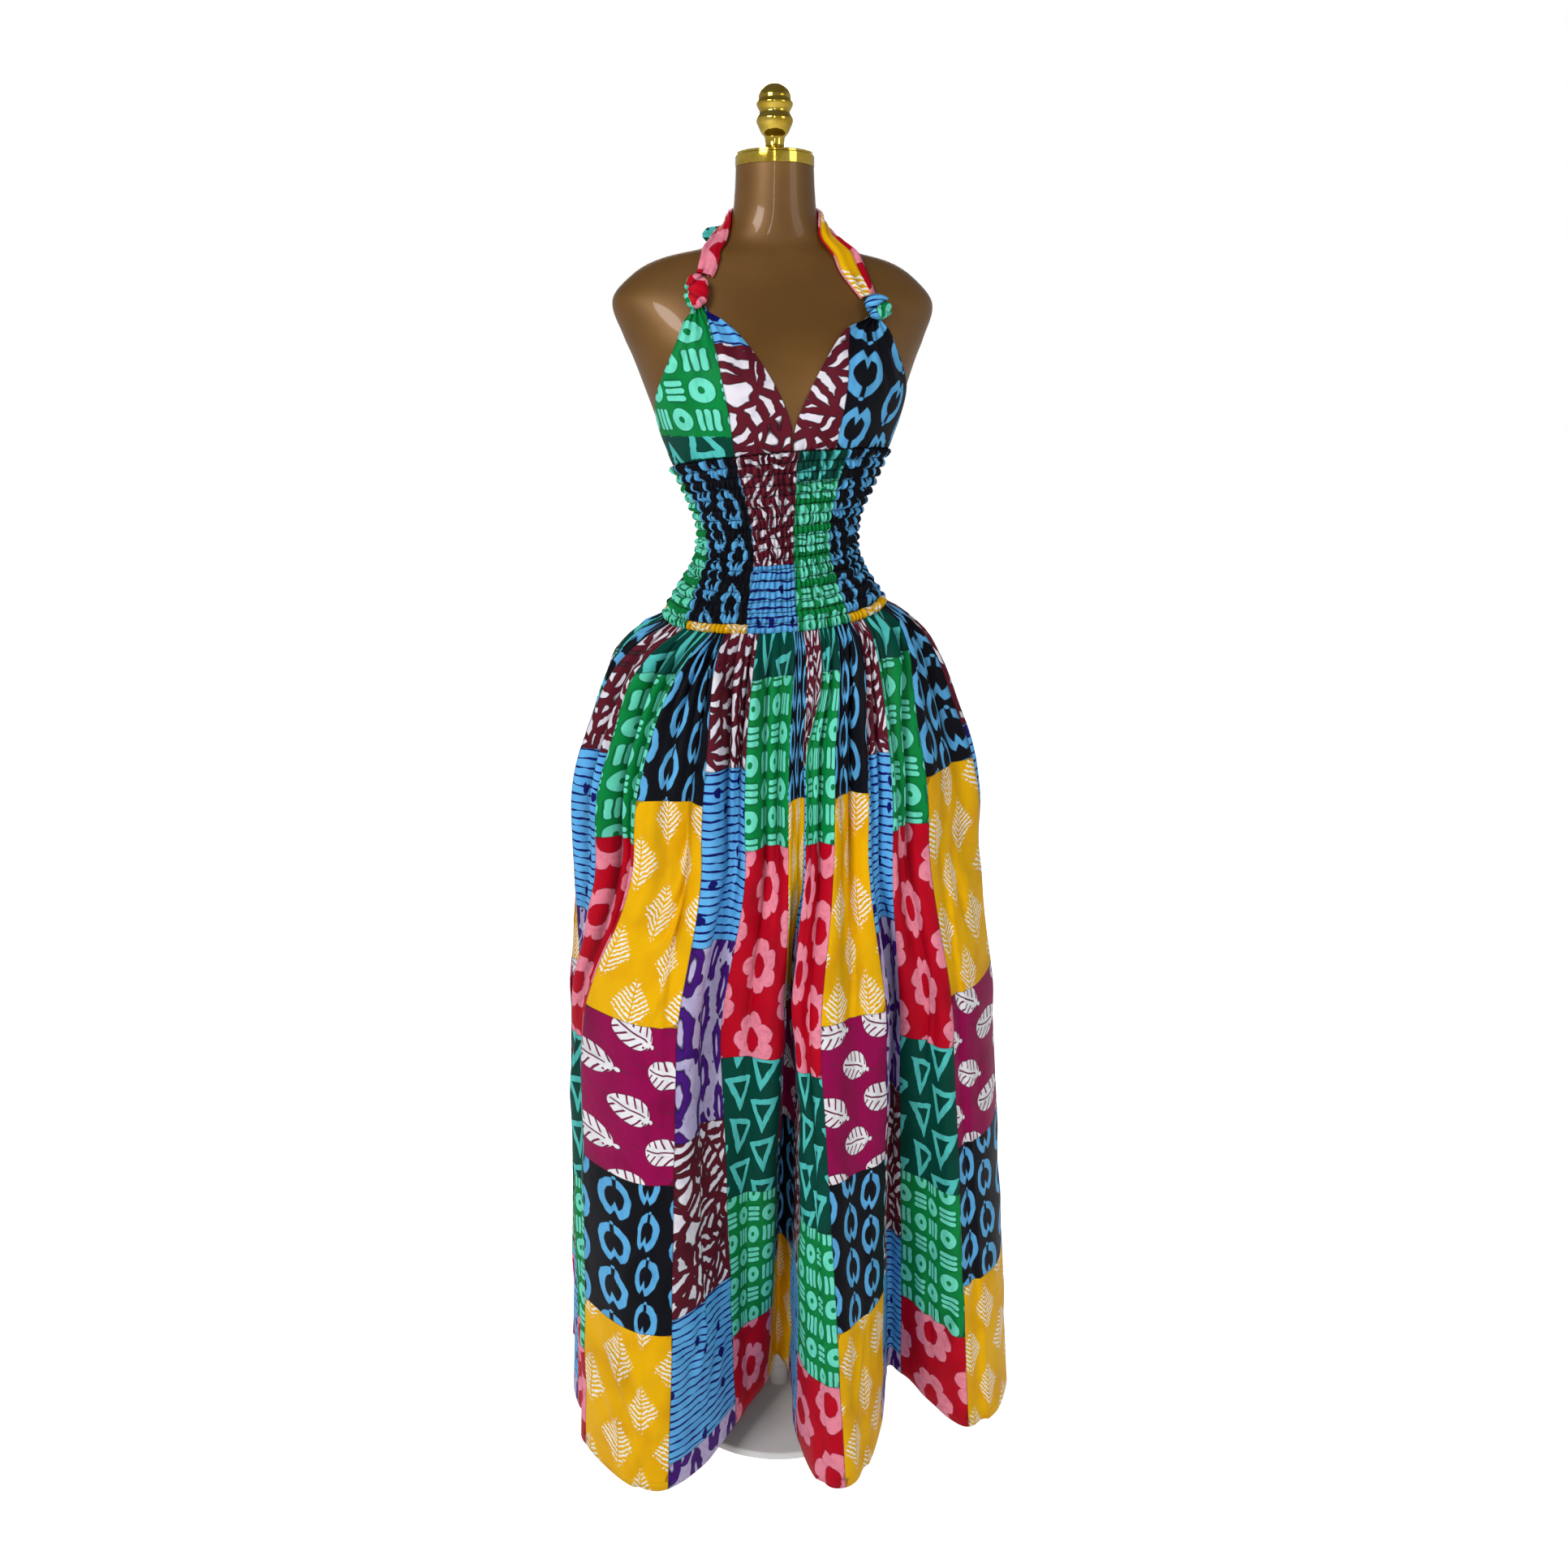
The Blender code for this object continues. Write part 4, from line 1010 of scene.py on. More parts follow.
def crease_offset(along, down):
    """Creases pressed into the cloth: each a soft furrow with a ridge beside it."""
    offset = np.zeros_like(along)
    for start_along, start_down, end_along, end_down, width, depth in CREASES:
        run = np.array([end_along - start_along, end_down - start_down])
        reach = np.linalg.norm(run)
        x, y = along - start_along, down - start_down
        share = (x * run[0] + y * run[1]) / reach ** 2
        aside = (x * run[1] - y * run[0]) / reach
        aside = aside + 0.004 * soft_noise(share * 3.0, 0.0, 66)
        shown = smoothstep(share / 0.25) * smoothstep((1.0 - share) / 0.45)
        furrow = np.exp(-(aside / width) ** 2)
        ridge = np.exp(-((aside - 1.7 * width) / width) ** 2)
        offset += depth * shown * (0.8 * ridge - furrow)
    return offset


def skirt_points(along, down):
    base = skirt_base(along, down)
    ahead, behind = skirt_base(along + FOLD_STEP, down), skirt_base(along - FOLD_STEP, down)
    around = (ahead - behind) / (2 * FOLD_STEP)
    stretch = np.clip(np.linalg.norm(around, axis=-1), 0.05, 1.0)
    tangent = unit(around)
    outward = np.stack([tangent[..., 1], -tangent[..., 0], np.zeros_like(stretch)], axis=-1)
    outward = unit(outward)
    freedom = read_line(GATHER_FREEDOM, (along + 0.69) % SWEEP - 0.69)
    offset = np.zeros_like(stretch)
    shift = np.zeros_like(stretch)
    hollow = np.zeros_like(stretch)
    held = 0.20 + 0.80 * smoothstep(down / 0.016)
    for seed, (wave, strengths) in enumerate(GATHER_WAVES):
        strength = read_line(strengths, down) * freedom
        wander = soft_noise(along / (wave * 2.2) + 9.0, down / 0.5, 20 + seed)
        phase = 2 * math.pi * (along / wave) + 1.5 * wander
        strength = strength * (0.75 + 0.5 * soft_noise(along / wave, down / 0.4, 40 + seed))
        shown = wave * stretch
        depth = GATHER_FILL * np.sqrt(np.maximum(wave ** 2 - shown ** 2, 0.0))
        depth = depth / WAVE_LENGTH_SHARE
        depth = depth * strength * held
        near_seam = 1.0 - 1.7 * smoothstep(down / 0.14)
        offset += depth * (np.cos(phase) + near_seam)
        lean = GATHER_LEAN * np.minimum(strength * 1.6, 1.0)
        shift += lean * shown / (2 * math.pi) * np.sin(phase)
        # painted shade: the cloth darkens in the valleys of the finer gathers, by their depth
        if wave < STRIP:
            hollow += depth / PAINTED_SHADE_DEPTH * np.maximum(-np.cos(phase), 0.0) ** 1.6
    fine, broad = [height * soft_noise(along / width, down / reach, seed)
                   for height, width, reach, seed in (FINE_WRINKLES, BROAD_WRINKLES)]
    offset = offset + fine + broad * smoothstep(down / 0.2) + crease_offset(along, down)
    offset = offset + SEAM_SWELL * smoothstep(down / 0.008)
    points = base + outward * offset[..., None] + tangent * shift[..., None]
    return points, hollow


def make_skirt(name, first_strip, last_strip):
    columns = (last_strip - first_strip) * SKIRT_COLUMNS_IN_STRIP
    along = np.linspace(first_strip * STRIP, last_strip * STRIP, columns + 1)
    down = skirt_rows()
    along, down = np.meshgrid(along, down)
    points, hollow = skirt_points(along, down)
    piece = shell(name, points, np.stack([along, -down], axis=-1),
                  print_names(strip_print, face_middles(along), face_middles(down)),
                  skirt_edge_distance(along, down), hollow=hollow)
    return fit(piece)


skirt_front = make_skirt("skirt_front_cloth", FRONT_FIRST_STRIP, FRONT_LAST_STRIP)
skirt_back = make_skirt("skirt_back_cloth", FRONT_LAST_STRIP, FRONT_FIRST_STRIP + STRIPS)


# Smocked band

# Angle of the left edge of each column of patches at the band's top, the same at its bottom,
# and the column's kind of strip. Ten go round, as wide in the cloth as the skirt's.
BAND_COLUMNS = (
    (-112.0, -95.0, "g"), (-80.0, -57.0, "k"), (-30.0, -22.0, "m"), (2.0, 2.0, "G"),
    (29.0, 31.0, "k"), (80.0, 74.0, "m"), (116.0, 112.0, "g"), (152.0, 150.0, "k"),
    (188.0, 186.0, "m"), (218.0, 226.0, "k"), (248.0, 265.0, "g"), (280.0, 303.0, "k"),
)
# Prints of a band column from its top: print, rows of smocking to its lower edge
BAND_PRINTS = {
    "g": (("green", 17.0),),
    "k": (("black", 16.0), ("yellow", 17.0)),
    "m": (("maroon", 10.6), ("blue", 17.0)),
    "G": (("pine", 2.8), ("green", 17.0)),
}


def band_print(column, row):
    return print_at(BAND_PRINTS[BAND_COLUMNS[column][2]], row)


def make_band(name, start, end):
    """Half of the band: puffs between rows of elastic thread, drawn up into upright ribs."""
    columns = RIBS_IN_HALF * RIB_STEPS
    rows = SMOCK_ROWS * SMOCK_ROW_STEPS
    edge = math.degrees(SEAM_GAP / 2 / WAIST_RADIUS)
    angle = np.linspace(start + edge, end - edge, columns + 1)
    row = np.linspace(0.0, SMOCK_ROWS, rows + 1)
    angle, row = np.meshgrid(angle, row)
    share = 1.0 - row / SMOCK_ROWS
    puff = np.abs(np.sin(math.pi * row)) ** 0.7
    whole_row = np.floor(row + 1e-6)
    rib = (angle - start) / (end - start) * RIBS_IN_HALF
    rib = rib + 0.42 * soft_noise(rib / 1.6, row / 2.4, 71) + 0.32 * soft_noise(
        rib / 2.0, whole_row * 1.7, 72)
    crest = np.abs(np.sin(math.pi * rib)) ** 0.8
    strength = 0.80 + 0.26 * soft_noise(rib / 1.3, row / 1.4, 73)
    ruffle = smoothstep(1.0 - row / 0.55)
    lift = CLEARANCE + BAND_LIFT + RIB_HEIGHT * crest * strength * (0.42 + 0.58 * puff)
    lift = lift - THREAD_SINK * (1.0 - puff) + ruffle * (RUFFLE[0] + RUFFLE[1] * crest)
    low = band_low(angle)
    high = band_high(angle)
    tremble = ROW_TREMBLE * soft_noise(rib / 1.2, whole_row + 0.5, 74)
    ends = smoothstep(row / 0.5) * smoothstep((SMOCK_ROWS - row) / 0.5)
    points = lifted_point(angle, low + (high - low) * share + tremble * ends, lift)

    # the columns of patches: how far the cloth has come in each, by its length over the ribs
    tops, bottoms = [np.array([line[side] for line in BAND_COLUMNS]) for side in (0, 1)]
    edges = tops + (bottoms - tops) * (row[:, :1] / SMOCK_ROWS)
    column = (angle[..., None] >= edges[:, None, :]).sum(axis=-1) - 1
    steps = np.linalg.norm(np.diff(points, axis=1), axis=-1)
    walked = np.concatenate([np.zeros((rows + 1, 1)), np.cumsum(steps, axis=1)], axis=1)
    pace = walked[:, -1:] / (end - start)
    place = np.zeros_like(angle)
    for line in range(rows + 1):
        beyond = edges[line] - np.clip(edges[line], angle[line, 0], angle[line, -1])
        at_edges = np.interp(edges[line], angle[line], walked[line]) + beyond * pace[line]
        first, last = at_edges[column[line]], at_edges[column[line] + 1]
        place[line] = (walked[line] - first) / (last - first)
    along = (column + place) * STRIP
    down = row * SMOCK_ROW
    names = print_names(band_print, column[:-1, :-1], face_middles(row))
    to_edge = np.minimum(place, 1.0 - place) * STRIP * 0.5
    kinds = np.array([kind for _, _, kind in BAND_COLUMNS])[column]
    for kind, patches in BAND_PRINTS.items():
        for _, lower_edge in patches[:-1]:
            gap = np.abs(row - lower_edge) * SMOCK_ROW
            to_edge = np.where(kinds == kind, np.minimum(to_edge, gap), to_edge)
    # painted shade: darker between the ribs, and a little along the threads
    hollow = (1.0 - crest) ** 1.3 * (0.75 + 0.25 * (1.0 - puff)) + 0.12 * (1.0 - puff)
    piece = shell(name, points, np.stack([along, -down], axis=-1), names, to_edge, smock=row,
                  hollow=hollow, thickness=SHIRRED_CLOTH)
    return fit(piece)


band_front = make_band("band_front_cloth", -90.0, 90.0)
band_back = make_band("band_back_cloth", 90.0, 270.0)


# Cups

CUP_SEAM = {-1: 29.0, 1: 22.0}
CUP_SIDE_COLUMNS = 44
CUP_ROWS = 94
# The cloth goes on a little way into the knot, and narrows to it
CUP_REACH = 1.045
CUP_MIDDLE = {-1: 31.5, 1: 32.8}


def cup_print(side, height, inner):
    """Print of a cup at a height, in its part beside the neckline or in the outer one."""
    if side > 0:
        return "maroon" if inner else "black"
    if inner:
        return "blue" if height > 1.424 else "maroon"
    return "pine" if height < 1.330 else "green"


def make_cup(name, side):
    """A gathered triangle in two parts that meet at an upright seam."""
    top = CUP_TOP[side]
    up = np.linspace(0.0, CUP_REACH, CUP_ROWS + 1)
    edge, neckline = read_table(CUP_EDGES, CUP_EDGES[0][0] + (top - CUP_EDGES[0][0]) * up)
    narrowed = 0.45 * smoothstep((up - 0.95) / 0.09)
    edge = edge + (CUP_MIDDLE[side] - edge) * narrowed
    neckline = neckline + (CUP_MIDDLE[side] - neckline) * narrowed
    seam = np.clip(CUP_SEAM[side], neckline + 0.3, edge - 0.3)
    share = np.linspace(0.0, 1.0, CUP_SIDE_COLUMNS + 1)
    inner = neckline[:, None] + (seam - neckline)[:, None] * share
    outer = seam[:, None] + (edge - seam)[:, None] * share[1:]
    turn = np.concatenate([inner, outer], axis=1)
    across = (turn - neckline[:, None]) / (edge - neckline)[:, None]
    up = np.broadcast_to(up[:, None], turn.shape)
    angle = side * turn
    if side > 0:
        angle = angle + math.degrees(SEAM_GAP / NECKLINE_RADIUS)
    foot = band_high(angle) + SEAM_GAP
    height = foot + (top - foot) * up
    fullness = np.sin(math.pi * across) * np.sin(
        math.pi * (CUP_PUFF_START + CUP_PUFF_SPAN * np.minimum(up, 1.0)))
    drift = 0.35 * soft_noise(across * 3.0, up * 2.0, 81)
    fan = 0.5 - 0.5 * np.cos(2 * math.pi * (CUP_FOLDS * across + drift))
    fine = 0.5 - 0.5 * np.cos(2 * math.pi * (FINE_FOLDS * across + 2.0 * drift + 0.3))
    gather = CUP_GATHER_DEPTH * fan * smoothstep((up - 0.25) / 0.7)
    gather = gather + FINE_GATHER * fine * smoothstep((up - 0.62) / 0.35)
    sway = soft_noise(across * 9.0, up, 82)
    foot_folds = np.abs(np.sin(math.pi * (FOOT_FOLDS * across + sway)))
    gather = gather + FOOT_FOLD * foot_folds * smoothstep(1.0 - up / 0.16)
    waves = CUP_WAVE * soft_noise(across * 5.0, up * 3.0, 83)
    waves = waves * np.sin(math.pi * across) * np.sin(math.pi * np.clip(up, 0.0, 1.0))
    lift = CLEARANCE + CUP_LIFT + CUP_PUFF * fullness + gather + waves
    points = lifted_point(angle, height, lift)
    # painted shade: darker in the valleys of the gathers and of the folds at the foot
    hollow = 0.38 * (1.0 - fan) ** 2 * smoothstep((up - 0.45) / 0.5)
    hollow = hollow + 0.5 * (1.0 - foot_folds) ** 2 * smoothstep(1.0 - up / 0.10)
    along = np.radians(angle - side * CUP_SEAM[side]) * CHEST_RADIUS
    down = (top - height) * CUP_SLOPE
    in_part = np.arange(2 * CUP_SIDE_COLUMNS) < CUP_SIDE_COLUMNS
    names = print_names(cup_print, side, face_middles(height), in_part)
    to_edge = np.radians(np.abs(turn - seam[:, None])) * CHEST_RADIUS
    grids = [points, np.stack([along, down], axis=-1), names, to_edge, hollow]
    if side < 0:
        grids = [grid[:, ::-1] for grid in grids]
    points, flat, names, to_edge, hollow = [grid[::-1] for grid in grids]
    piece = shell(name, points, flat, names, to_edge, hollow=hollow)
    return fit(piece)


# The cut of a cup: its foot is 173 mm long on the form and a fifth wider flat, its top is drawn
# up from 62 to 31 mm under the knot, and it is as deep as its outer edge is long on the form
for side, name in ((-1, "cup_left_cloth"), (1, "cup_right_cloth")):
    make_cup(name, side)


# Ties, knots and bow

TIE_CUT = 0.060
TIE_STATIONS = 90
TIE_COLUMNS = 32
# Where in its print each tie was cut, along and down, in metres
TIE_PRINT = {-1: (0.004, 0.012), 1: (0.022, 0.020)}


def tie_print(side, along):
    """The right tie has a stripe of another print along it."""
    return "yellow" if side > 0 and abs(along - 0.0045) < 0.0056 else "red"


def walk_on_skin(angle, height, direction, distance):
    """The angle and height reached by a walk over the surface in a direction."""
    for _ in range(SKIN_STEPS):
        around, upward = skin_slopes(angle, height)
        a, b, c = [(one * other).sum(axis=-1) for one, other in
                   ((around, around), (around, upward), (upward, upward))]
        p, q = (around * direction).sum(axis=-1), (upward * direction).sum(axis=-1)
        step = distance / SKIN_STEPS / (a * c - b * b)
        angle, height = angle + (p * c - q * b) * step, height + (q * a - p * b) * step
    return angle, height


def make_tie(name, side, route):
    """A folded tie: its cloth goes round both edges and meets underneath."""
    last = len(route) - 1
    rows = [(station, *skin_point(*place)) for station, place in enumerate(route)]
    share = np.linspace(0.0, 1.0, TIE_STATIONS + 1)
    centre = np.stack(read_table(rows, last * share), axis=-1)
    ahead = np.stack(read_table(rows, last * share + 0.05), axis=-1)
    behind = np.stack(read_table(rows, last * share - 0.05), axis=-1)
    half, middle, front, back = read_table(FORM_SECTIONS, centre[:, 2])
    depth = np.where(centre[:, 1] < middle, front, back)
    angle = np.degrees(np.arctan2(centre[:, 0] / half, (middle - centre[:, 1]) / depth))
    height = centre[:, 2]
    around, upward = skin_slopes(angle, height)
    outward = unit(np.cross(around, upward))
    off = np.maximum(((centre - skin_point(angle, height)) * outward).sum(axis=-1), 0.0)
    across = unit(np.cross(outward, unit(ahead - behind)))
    width = read_table(TIE_WIDTHS, share)[0 if side < 0 else 1]
    width = width * (1.0 + 0.03 * soft_noise(share * 6.0, 0.0, 90 + side))
    turn = np.linspace(-0.96, 0.96, TIE_COLUMNS + 1)[None, :] * math.pi
    sideways = np.sign(np.sin(turn)) * np.abs(np.sin(turn)) ** 0.62
    upright = np.cos(turn)
    crown = np.sign(upright) * np.abs(upright) ** 0.5
    wander = soft_noise(share * 4.0, 0.0, 93 + side)[:, None]
    creases = np.cos(3.1 * math.pi * sideways + 2.4 * wander)
    fold = TIE_CREASE * creases * (upright > 0.2)
    lift = TIE_CLEARANCE + TIE_THICKNESS * (0.48 + 0.50 * crown) + fold + off[:, None]
    at_angle, at_height = walk_on_skin(
        np.broadcast_to(angle[:, None], lift.shape), np.broadcast_to(height[:, None], lift.shape),
        across[:, None, :], sideways * width[:, None] / 2)
    points = lifted_point(at_angle, at_height, lift)
    points[..., 0] *= side
    distance = walked_along(centre)
    along = np.broadcast_to(turn / (2 * math.pi) * TIE_CUT, lift.shape)
    down = np.broadcast_to(distance[:, None], lift.shape)
    names = print_names(tie_print, side, face_middles(along))
    # painted shade in the creases on the tie's top
    hollow = 0.6 * np.maximum(-creases, 0.0) ** 3 * (upright > 0.2)
    grids = [points, np.stack([along + TIE_PRINT[side][0], -down - TIE_PRINT[side][1]], axis=-1),
             names, np.full(lift.shape, 0.05), hollow]
    if side > 0:
        grids = [grid[:, ::-1] for grid in grids]
    piece = shell(name, *grids[:4], hollow=grids[4])
    return fit(piece), distance[-1]


def make_knot(name, side, sizes, prints, print_place=(0.0, 0.0), turns=0.0):
    """A rounded knot, its cloth wrapped slantwise over itself. prints names the low wrap, the
    high one and the loop that shows at its left."""
    centre_angle, centre_height, half_width, half_height, rise = sizes
    rows, columns = 40, 48
    mirror = np.array([side, 1.0, 1.0])
    around, upward = skin_slopes(centre_angle, centre_height)
    middle = skin_point(centre_angle, centre_height) * mirror
    outward = unit(np.cross(around, upward)) * mirror
    sideways = unit(np.cross(np.array([0.0, 0.0, 1.0]), outward))
    up_direction = unit(np.cross(outward, sideways))
    up = np.linspace(-1.0, 1.0, rows + 1)[:, None]
    turn = np.linspace(0.0, 2.0 * math.pi, columns + 1)[None, :]
    girth = np.sqrt(np.clip(1.0 - np.abs(up) ** 2.6, 0.0, 1.0)) * 0.90 + 0.10
    slant = up - KNOT_SLANT * np.cos(turn)
    crease = np.exp(-((slant - turns) / 0.11) ** 2)
    second = np.exp(-((up + 0.46 + 0.35 * np.cos(turn)) / 0.10) ** 2)
    folds = 1.0 - 0.24 * crease - 0.16 * second + 0.04 * np.sin(11.0 * up + 2.0 * np.cos(turn))
    x = half_width * girth * folds * np.cos(turn) * 1.02
    z = half_height * up + 0.0 * turn
    depth = (rise * 0.54) * girth * folds * np.sin(turn)
    points = (middle + sideways * x[..., None] + up_direction * z[..., None]
              + outward * (depth + CLEARANCE + rise * 0.55)[..., None])
    along = 0.0 * x + turn / (2 * math.pi) * KNOT_GIRTH + print_place[0]
    down = 0.0 * x - up * half_height * 1.6 + print_place[1]
    names = np.where(face_middles(slant - turns) > 0.0, prints[1], prints[0]).astype("U8")
    names[face_middles(np.cos(turn) + 0.25 * up) < -0.70] = prints[2]
    # the knot's creases get painted shade, passed to the shell below
    piece = shell(name, points, np.stack([along, -down], axis=-1), names,
                  np.abs(slant - turns) * half_height, hollow=0.8 * crease + 0.6 * second,
                  thickness=0.0)
    close_ends(piece)
    return fit(piece)


def close_ends(piece):
    """Joins the seam of a turned shell and closes its two ends."""
    work = bmesh.new()
    work.from_mesh(piece.data)
    bmesh.ops.remove_doubles(work, verts=work.verts, dist=1e-6)
    rims = [edge for edge in work.edges if edge.is_boundary]
    bmesh.ops.holes_fill(work, edges=rims, sides=0)
    bmesh.ops.recalc_face_normals(work, faces=work.faces)
    work.to_mesh(piece.data)
    work.free()
    piece.data.shade_smooth()


def make_ribbon(name, centres, across, half_widths, print_name, belly=0.0):
    """An open ribbon through centres, with a dip or a belly across it."""
    columns = 12
    place = np.linspace(-1.0, 1.0, columns + 1)[None, :]
    along_path = unit(np.gradient(centres, axis=0))
    across = unit(across)
    face = unit(np.cross(along_path, across))
    points = (centres[:, None, :] + across[:, None, :] * (half_widths[:, None] * place)[..., None]
              + face[:, None, :] * (belly * (1.0 - place ** 2)
                                    + 0.0006 * np.cos(7.0 * place))[..., None])
    distance = walked_along(centres)
    flat = np.stack([place * half_widths[:, None] + 0.0 * distance[:, None],
                     -distance[:, None] + 0.0 * place], axis=-1)
    names = np.full((len(centres) - 1, columns), print_name)
    piece = shell(name, points, flat, names, np.full(points.shape[:2], 0.05))
    area = float(((half_widths[1:] + half_widths[:-1]) * np.diff(distance)).sum())
    return fit(piece), (float(2.0 * half_widths.max()), float(distance[-1])), area


def make_bow():
    knot_height = NAPE_KNOT[1]
    for side, name, print_name in ((-1, "bow_loop_left", "pine"), (1, "bow_loop_right", "blue")):
        out = np.linspace(0.0, 1.0, 26)
        share = np.concatenate([out, out[::-1][1:]])
        rise, half_width = read_table(LOOP_SECTIONS, share)
        swing = LOOP_SWING * np.sin(math.pi * share * 0.6)
        layer = np.concatenate([np.ones(26), -np.ones(25)])
        gap = layer * (LOOP_THICKNESS / 2 - 0.0006) * np.sqrt(np.clip(1.0 - share ** 6, 0.0, 1.0))
        gap = gap * (0.35 + 0.65 * smoothstep(share * 4.0))
        centres = np.stack([side * (BOW_SIDE + LOOP_LENGTH * share * 0.99),
                            NECK_MIDDLE + BOW_BEHIND + swing - gap, knot_height + rise], axis=-1)
        across = np.broadcast_to(np.array([0.0, 0.25, 1.0]), centres.shape)
        piece, flat, area = make_ribbon(name + "_cloth", centres, across, half_width * 0.98,
                                        print_name)
    tail_top = knot_height - NAPE_KNOT[3] - TAIL_DROP
    for side, name, print_name in ((-1, "bow_tail_left", "red"), (1, "bow_tail_right", "green")):
        share = np.linspace(0.0, 1.0, 40)
        turn, half_width = read_table(TAIL_SECTIONS, share)
        centres = lifted_point(180.0 - side * turn, tail_top - TAIL_LENGTH * share,
                               np.full(share.shape, TAIL_LIFT))
        across = np.broadcast_to(np.array([1.0, 0.0, 0.18 * side]), centres.shape)
        piece, flat, area = make_ribbon(name + "_cloth", centres, across, half_width * 0.98,
                                        print_name, belly=0.0006)


straps = [make_tie("strap_left_cloth", -1, LEFT_TIE), make_tie("strap_right_cloth", 1, RIGHT_TIE)]
knots = [make_knot("knot_left_cloth", -1, LEFT_KNOT, ("red", "red", "green"), (-0.064, 0.040), 0.45),
         make_knot("knot_right_cloth", 1, RIGHT_KNOT, ("green", "blue", "blue"))]
make_knot("nape_knot_cloth", 1, NAPE_KNOT, ("pine", "pine", "pine"))
make_bow()


# Form and stand

def add_noise(tree, scale, detail):
    place = tree.nodes.new("ShaderNodeTexCoord")
    noise = tree.nodes.new("ShaderNodeTexNoise")
    noise.inputs["Scale"].default_value = scale
    noise.inputs["Detail"].default_value = detail
    tree.links.new(place.outputs["Object"], noise.inputs["Vector"])
    return noise.outputs["Fac"]


def ramp(tree, factor, one, other, low=0.35, high=0.65):
    node = tree.nodes.new("ShaderNodeValToRGB")
    for element, position, colour in zip(node.color_ramp.elements, (low, high), (one, other)):
        element.position = position
        element.color = (*colour, 1.0)
    tree.links.new(factor, node.inputs[0])
    return node.outputs[0]


def hard_material(name, colour, darker, cloud, metallic, roughness, smear, grain, relief):
    """A hard surface: cloud, smear and grain are the noise scales of its uneven colour, of its
    uneven roughness between two values, and of its relief, which has a strength and a depth."""
    material, tree, shader = new_material(name)
    shader.inputs["Metallic"].default_value = metallic
    tree.links.new(ramp(tree, add_noise(tree, *cloud), darker, colour),
                   shader.inputs["Base Color"])
    spread = tree.nodes.new("ShaderNodeMapRange")
    spread.inputs["To Min"].default_value, spread.inputs["To Max"].default_value = roughness
    tree.links.new(add_noise(tree, *smear), spread.inputs["Value"])
    tree.links.new(spread.outputs["Result"], shader.inputs["Roughness"])
    bump = tree.nodes.new("ShaderNodeBump")
    bump.inputs["Strength"].default_value, bump.inputs["Distance"].default_value = relief
    tree.links.new(add_noise(tree, grain, 2.0), bump.inputs["Height"])
    tree.links.new(bump.outputs["Normal"], shader.inputs["Normal"])
    return material


def bronze_material():
    """Satin bronze-brown lacquer with a faint uneven spray."""
    material = hard_material("bronze_lacquer", srgb(121, 82, 27), srgb(107, 71, 20), (9.0, 3.0),
                             0.34, (0.42, 0.52), (26.0, 3.0), 900.0, (0.10, 0.0002))
    shader = material.node_tree.nodes["Principled BSDF"]
    shader.inputs["Coat Weight"].default_value = 0.28
    shader.inputs["Coat Roughness"].default_value = 0.07
    return material


def gold_material():
    """Polished gold plating, a little uneven in colour."""
    return hard_material("gold_plating", srgb(226, 196, 88), srgb(198, 164, 52), (60.0, 4.0),
                         1.0, (0.06, 0.16), (180.0, 4.0), 1500.0, (0.06, 0.0001))


def paint_material(name, colour, darker):
    """Powder-coated metal."""
    return hard_material(name, colour, darker, (14.0, 4.0), 0.0, (0.34, 0.46), (40.0, 3.0),
                         1400.0, (0.12, 0.0002))


def closed_body(name, rings, material):
    """A closed body from rings of points, with flat ends."""
    count = rings.shape[1]
    index = np.arange(rings.shape[0] * count).reshape(rings.shape[0], count)
    ahead = np.roll(index, -1, axis=1)
    quads = np.stack([index[:-1], ahead[:-1], ahead[1:], index[1:]], axis=-1).reshape(-1, 4)
    faces = [tuple(quad) for quad in quads.tolist()]
    faces.append(tuple(index[0][::-1].tolist()))
    faces.append(tuple(index[-1].tolist()))
    mesh = bpy.data.meshes.new(name)
    mesh.from_pydata(rings.reshape(-1, 3).tolist(), [], faces)
    mesh.shade_smooth()
    mesh.set_sharp_from_angle(angle=math.radians(48.0))
    mesh.materials.append(material)
    fit(add_object(name, mesh))


def turned_rings(profile, middle, foot, sides):
    turn = np.linspace(0.0, 2.0 * math.pi, sides, endpoint=False)
    height, radius = np.array(profile, float).T
    return np.stack([radius[:, None] * np.sin(turn), middle - radius[:, None] * np.cos(turn),
                     foot + height[:, None] + 0.0 * turn], axis=-1)


def rounded_profile(profile, radius, steps=5):
    """A turned profile whose corners are rounded."""
    result = [profile[0]]
    for before, corner, after in zip(profile, profile[1:], profile[2:]):
        corner = np.array(corner)
        ways = [np.array(other) - corner for other in (before, after)]
        start, end = [corner + way * min(radius / np.linalg.norm(way), 0.45) for way in ways]
        for step in range(steps + 1):
            t = step / steps
            result.append(tuple((1 - t) ** 2 * start + 2 * t * (1 - t) * corner + t ** 2 * end))
    result.append(profile[-1])
    return result


FORM_RINGS = 230
FORM_SIDES = 120
CAP_LIP = 0.0008
CAP_STEP = 0.0012
COLLAR = 0.030


